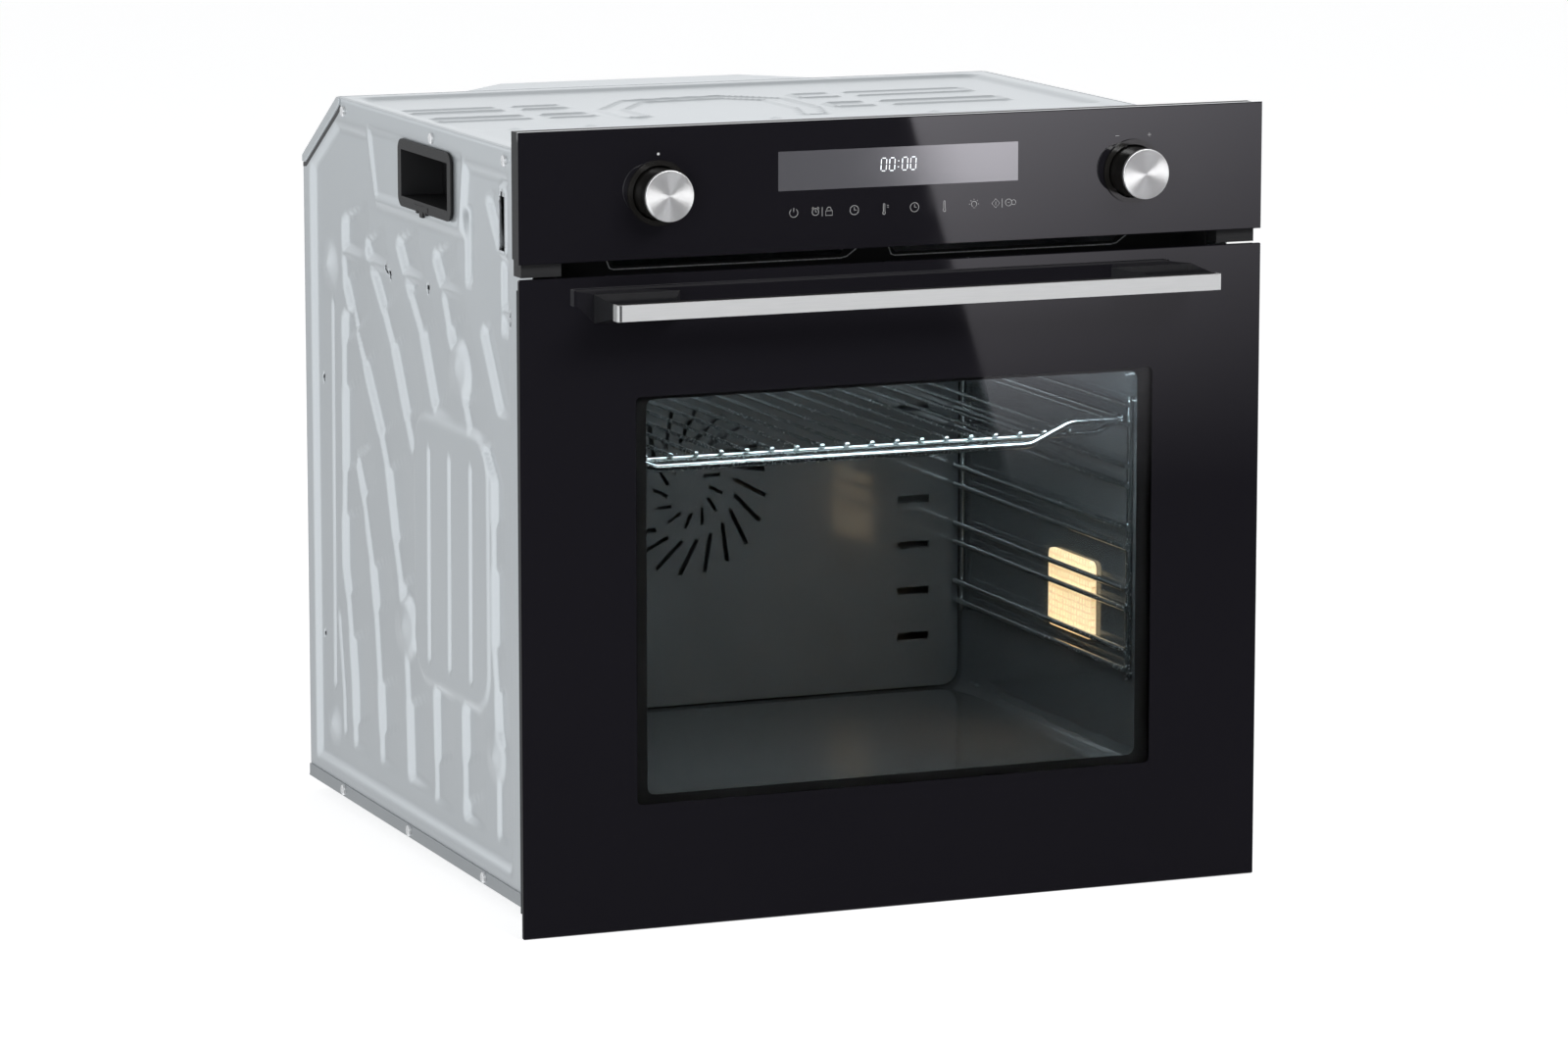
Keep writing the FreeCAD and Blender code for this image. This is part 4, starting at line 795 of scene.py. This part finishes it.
# the plated end of the handle's strip, parted from the rest by a dark groove
def makeStripEnd():
    low, high = nodeBox("handle_facing")
    face = low.y - frontPlane
    for name, x0, x1, material, slot in (("stripGroove", 1.6, 3.4, sealRubber, "black_plastic"),
                                         ("stripEnd", 3.4, 15.0, brushedAluminium, "brushed_aluminium")):
        near, far = (roundedLoop(low.x + x0, low.x + x1, low.z + 0.15, high.z - 0.15, radius)
                     for radius in (0.3, 0.25))
        verts, faces = ringSolid([(near, face - 0.1), (far, face + 0.3)], closed=False)
        makePiece(name, verts, faces, "door", material)


makeStripEnd()

# The display, its digits and the icons

panelLow = nodeBox("panel_glass")[0]
panelFace = panelLow.y - frontPlane


# a flat ribbon of even width along each polyline, given a small thickness, lying on the panel's face
def makeStrokes(name, strokes, width, material, lift=0.03, face=panelFace):
    verts, faces = [], []
    for points in strokes:
        points = np.asarray(points, float)
        closed = np.allclose(points[0], points[-1])
        way = np.gradient(points, axis=0)
        if closed:
            way[0] = way[-1] = points[1] - points[-2]
        way /= np.linalg.norm(way, axis=1)[:, None]
        out = np.column_stack([way[:, 1], -way[:, 0]]) * width / 2
        both = np.concatenate([points + out, points - out])
        start = len(verts)
        n = len(points)
        verts += np.column_stack([both[:, 0], np.full(2 * n, frontPlane + face - lift), both[:, 1]]).tolist()
        faces += [[start + i, start + i + 1, start + n + i + 1, start + n + i] for i in range(n - 1)]
    obj = makePiece(name, verts, faces, "oven_body", material)
    return solidify(obj, lift * 0.9, -1)


def arc(x, z, radius, start=0, end=360, steps=24):
    angle = np.radians(np.linspace(start, end, steps))
    return np.column_stack([x + radius * np.sin(angle), z + radius * np.cos(angle)])


icons = dict(height=515.6, signs=561.8, line=0.26, dot=(-189.8, 563.4, 0.55))


def thermometer(x, z, tall=3.2):
    return [arc(x, z - tall, 1.1, 35, 325, 14), [(x - 0.6, z - tall + 1), (x - 0.6, z + tall)],
            [(x + 0.6, z - tall + 1), (x + 0.6, z + tall)], arc(x, z + tall, 0.6, -90, 90, 8)]


def clockIcon(x, z):
    return [arc(x, z, 3.4), [(x, z + 2.2), (x, z), (x + 1.8, z)]]


def alarmIcon(x, z):
    return [arc(x, z, 2.6), [(x, z + 1.6), (x, z), (x + 1.2, z)], [(x - 3.0, z + 2.4), (x - 1.6, z + 3.6)],
            [(x + 3.0, z + 2.4), (x + 1.6, z + 3.6)]]


def lockIcon(x, z):
    body = [(x - 2.6, z - 3), (x + 2.6, z - 3), (x + 2.6, z + 0.4), (x - 2.6, z + 0.4), (x - 2.6, z - 3)]
    return [body, arc(x, z + 1.4, 1.7, -100, 100, 12)]


def lampIcon(x, z):
    rays = [np.array([np.sin(a), np.cos(a)]) for a in np.radians([-90, -45, 0, 45, 90])]
    centre = np.array([x, z + 0.2])
    bulb = [arc(x, z + 0.2, 2.1, -150, 150, 18), [(x - 0.8, z - 2.6), (x + 0.8, z - 2.6)]]
    return bulb + [[centre + 3.0 * ray, centre + 4.0 * ray] for ray in rays]


def startIcon(x, z):
    diamond = [(x, z + 3.4), (x + 3.2, z), (x, z - 3.4), (x - 3.2, z), (x, z + 3.4)]
    return [diamond, [(x, z + 1.4), (x, z - 1.4)]]


def divider(x, z):
    return [[(x, z + 3.4), (x, z - 3.4)]]


def iconStrokes():
    z = icons["height"]
    signs = icons["signs"]
    power = [arc(-83.8, z, 3.2, 35, 325), [(-83.8, z + 3.8), (-83.8, z + 0.6)]]
    heat = thermometer(-11.9, z) + [[(-9.6, z + rise), (-8.2, z + rise)] for rise in (2.4, 1.0)]
    rings = [arc(88.5, z + 0.2, 2.6), arc(92.6, z + 0.2, 1.8, -50, 230, 16)]
    share = rings + [[(87.6, z + 0.2), (89.4, z + 0.2)]]
    minus = [[(175.6, signs), (178.6, signs)]]
    plus = [[(202.0, signs), (205.0, signs)], [(203.5, signs - 1.5), (203.5, signs + 1.5)]]
    timers = clockIcon(-35.7, z) + clockIcon(12.5, z) + alarmIcon(-66.6, z)
    dividers = divider(-61.2, z) + divider(83.2, z)
    tools = lockIcon(-55.8, z) + thermometer(36.5, z) + lampIcon(60.5, z) + startIcon(78, z)
    return power + timers + dividers + heat + tools + share + minus + plus


makeStrokes("panelIcons", iconStrokes(), icons["line"], iconInk)
makeStrokes("knobDot", [arc(*icons["dot"], 0, 360, 13)], 1.0, iconInk)

clockFace = dict(foot=543.6, head=553.0, slant=0.06, lefts=(-14.6, -7.9, 2.3, 9.0), wide=4.2, gap=0.75,
                 dots=(-1.2, -0.3), dotRise=2.2, line=0.62)


# 00:00 as bars: each nought is six bars of a seven-bar figure
def digitStrokes():
    strokes = []
    foot = clockFace["foot"]
    head = clockFace["head"]
    gap = clockFace["gap"]
    mid = (foot + head) / 2
    for left in clockFace["lefts"]:
        right = left + clockFace["wide"]
        strokes += [[(left + gap, head), (right - gap, head)], [(left + gap, foot), (right - gap, foot)]]
        for x in (left, right):
            strokes += [[(x, mid + gap / 2), (x, head - gap)], [(x, foot + gap), (x, mid - gap / 2)]]
    for rise in (clockFace["dotRise"], -clockFace["dotRise"]):
        strokes.append([(x, mid + rise) for x in clockFace["dots"]])
    return [[(x + (z - foot) * clockFace["slant"], z) for x, z in stroke] for stroke in strokes]


displayLow, displayHigh = nodeBox("display_module")
film = roundedLoop(displayLow.x + 4, displayHigh.x - 4, displayLow.z + 3, displayHigh.z - 3, 0.4)
verts, faces = ringSolid([(film, panelFace - 0.02), (film, panelFace + 0.5)], closed=False)
makePiece("displayWindow", verts, faces, "oven_body", displayFilm)
makeStrokes("clockDigits", digitStrokes(), clockFace["line"], digitGlow, lift=0.06)

# the turned lips of the two long air mouths, seen low in the slot under the panel
airMouth = dict(face=37.6, foot=472.6, head=481.5, line=0.9, spans=[(-209, -6), (16, 216)])


def mouthLip(x0, x1):
    foot = airMouth["foot"]
    head = airMouth["head"]
    return [(x0, head), (x0 + 3, foot + 1), (x0 + 6, foot), (x1 - 16, foot), (x1 - 11, foot + 1), (x1, head)]


makeStrokes("airMouthLips", [mouthLip(*span) for span in airMouth["spans"]], airMouth["line"], screwSteel,
            lift=0.4, face=airMouth["face"])
print("display made")

# Floor, lights and camera


def makeStage():
    mat, tree, shader = newMaterial("paleFloor", (0.5, 0.5, 0.5), 0.0, 0.9, Emission_Strength=0.74)
    shader.inputs["Emission Color"].default_value = (1, 1, 1, 1)
    mesh = bpy.data.meshes.new("floor")
    reach = 40
    z = boundsBefore[0].z - 0.0005
    corners = [(-reach, -reach, z), (reach, -reach, z), (reach, reach, z), (-reach, reach, z)]
    mesh.from_pydata(corners, [], [(0, 1, 2, 3)])
    mesh.materials.append(mat)
    floor = bpy.data.objects.new("floor", mesh)
    bpy.context.scene.collection.objects.link(floor)
    floor.visible_glossy = floor.visible_transmission = False


makeStage()

world = bpy.data.worlds.new("studio")
bpy.context.scene.world = world
world.use_nodes = True
sky = world.node_tree.nodes["Background"]
sky.inputs["Color"].default_value = (0.97, 0.985, 1.0, 1)


# Strength: white to the eye, even for soft light. Mirrored: nothing in front, bright round the
# back and sides near the horizon, and dimmer along the line that the flat left side mirrors,
# so its pressed edges stand out.
def makeSkyStrength(tree):
    path = addNode(tree, "ShaderNodeLightPath")
    ray = addNode(tree, "ShaderNodeTexCoord").outputs["Generated"]
    axes = addNode(tree, "ShaderNodeSeparateXYZ")
    tree.links.new(ray, axes.inputs[0])
    along = addNode(tree, "ShaderNodeVectorMath", operation="DOT_PRODUCT")
    tree.links.new(ray, along.inputs[0])
    along.inputs[1].default_value = (-0.31, 0.94, -0.14)
    dip = addMath(tree, "POWER", addMath(tree, "MAXIMUM", along.outputs["Value"], 0.0), 14.0)
    level = addMath(tree, "MULTIPLY_ADD", dip, -1.15, 1.5)
    low = addMath(tree, "MULTIPLY_ADD", axes.outputs["Z"], -1.5, 1.25, clamp=True)
    behind = addMath(tree, "MULTIPLY_ADD", axes.outputs["Y"], 3.0, 0.75, clamp=True)
    mirrored = addMath(tree, "MULTIPLY", addMath(tree, "MULTIPLY", level, low), behind)
    soft = addMath(tree, "MULTIPLY_ADD", path.outputs["Is Camera Ray"], 0.6, 0.45)
    rest = addMath(tree, "SUBTRACT", 1.0, path.outputs["Is Glossy Ray"])
    glossy = addMath(tree, "MULTIPLY", mirrored, path.outputs["Is Glossy Ray"])
    tree.links.new(addMath(tree, "MULTIPLY_ADD", soft, rest, glossy), sky.inputs["Strength"])


makeSkyStrength(world.node_tree)
world.cycles_visibility.transmission = False


def areaLight(name, place, target, size, power, colour=(1, 1, 1), shape="RECTANGLE"):
    data = bpy.data.lights.new(name, "AREA")
    data.shape = shape
    data.size, data.size_y = size
    data.energy = power
    data.color = colour
    light = bpy.data.objects.new(name, data)
    light.location = place
    light.rotation_euler = (Vector(target) - Vector(place)).to_track_quat("-Z", "Y").to_euler()
    bpy.context.scene.collection.objects.link(light)
    return light


doorwayDepth = frontPlane * mm
coolWhite = (0.95, 0.98, 1.0)
areaLight("overheadSoft", (-0.3, 0.8, 3.4), (0, 0, 0.3), (3.5, 3.0), 14)
areaLight("leftRear", (-2.2, 3.4, 0.9), (-0.28, 0.1, 0.3), (1.2, 1.6), 4, coolWhite)
near = areaLight("leftFront", (-1.4, -2.0, 0.8), (-0.28, 0.0, 0.3), (0.7, 1.4), 15, coolWhite)
near.visible_camera = False
areaLight("frontHigh", (1.3, -3.4, 2.7), (0.0, -0.3, 0.45), (2.6, 1.2), 130)
cool = areaLight("cavityCool", (0.02, doorwayDepth + 0.05, 0.40), (0.1, 0.1, 0.2), (0.42, 0.05), 1.4,
                 (0.86, 0.95, 1.0))
warm = areaLight("cavityWarm", (0.232, doorwayDepth + 0.19, 0.176), (-0.05, -0.02, 0.12), (0.04, 0.08), 0.35,
                 (1.0, 0.55, 0.25))
low = areaLight("cavityLow", (0.0, doorwayDepth + 0.03, 0.30), (0.0, 0.05, 0.06), (0.42, 0.05), 0.9,
                (1.0, 0.96, 0.92))
low.visible_glossy = warm.visible_glossy = False
for lamp in (cool, warm, low):
    lamp.visible_camera = lamp.visible_transmission = False


# A glowing card that only the polished front mirrors: bright along its slanted left edge, fading
# right and down. Its corners are set on the glass, then carried out along the mirrored line of
# sight to where the card stands.
def makeMirrorCard():
    card = dict(corners=[(-2, 620), (98, 290), (420, 290), (420, 620)], away=-3.0, glow=3.6)
    mat = bpy.data.materials.new("mirrorCard")
    mat.use_nodes = True
    tree = mat.node_tree
    tree.nodes.clear()
    link = tree.links.new
    out = addNode(tree, "ShaderNodeOutputMaterial")
    glow = addNode(tree, "ShaderNodeEmission")
    glow.inputs["Color"].default_value = (0.96, 0.93, 1.0, 1)
    uv = addNode(tree, "ShaderNodeUVMap", uv_map="UVMap")
    axes = addNode(tree, "ShaderNodeSeparateXYZ")
    link(uv.outputs[0], axes.inputs[0])
    across = addMath(tree, "MULTIPLY_ADD", axes.outputs["X"], -0.62, 1.0, clamp=True)
    rise = addMath(tree, "POWER", axes.outputs["Y"], 1.4)
    fading = addMath(tree, "MULTIPLY", across, rise)
    link(addMath(tree, "MULTIPLY", fading, card["glow"]), glow.inputs["Strength"])
    link(glow.outputs[0], out.inputs["Surface"])
    face = (frontPlane + panelFace) * mm
    mirrored = np.array([view["place"][0], 2 * face - view["place"][1], view["place"][2]])
    onGlass = np.array([(x * mm, face, z * mm) for x, z in card["corners"]])
    reach = (card["away"] - mirrored[1]) / (face - mirrored[1])
    verts = mirrored + reach * (onGlass - mirrored)
    mesh = bpy.data.meshes.new("mirrorCard")
    mesh.from_pydata(verts.tolist(), [], [(0, 1, 2, 3)])
    layer = mesh.uv_layers.new(name="UVMap")
    layer.data.foreach_set("uv", np.array([0, 1, 0, 0, 1, 0, 1, 1], np.float32))
    mesh.materials.append(mat)
    obj = bpy.data.objects.new("mirrorCard", mesh)
    bpy.context.scene.collection.objects.link(obj)
    obj.visible_camera = obj.visible_diffuse = obj.visible_shadow = False


view = dict(place=(-1.799, -4.5187, 1.0598), forward=(0.3695, 0.9141, -0.1671), lens=143.7, sensor=36.0)


def makeCamera():
    data = bpy.data.cameras.new("camera")
    data.lens = view["lens"]
    data.sensor_width = view["sensor"]
    data.clip_end = 200
    camera = bpy.data.objects.new("camera", data)
    camera.location = view["place"]
    camera.rotation_euler = Vector(view["forward"]).to_track_quat("-Z", "Y").to_euler()
    bpy.context.scene.collection.objects.link(camera)
    bpy.context.scene.camera = camera


makeMirrorCard()
makeCamera()
bpy.context.scene.view_settings.view_transform = "Standard"
print("lights and camera placed")
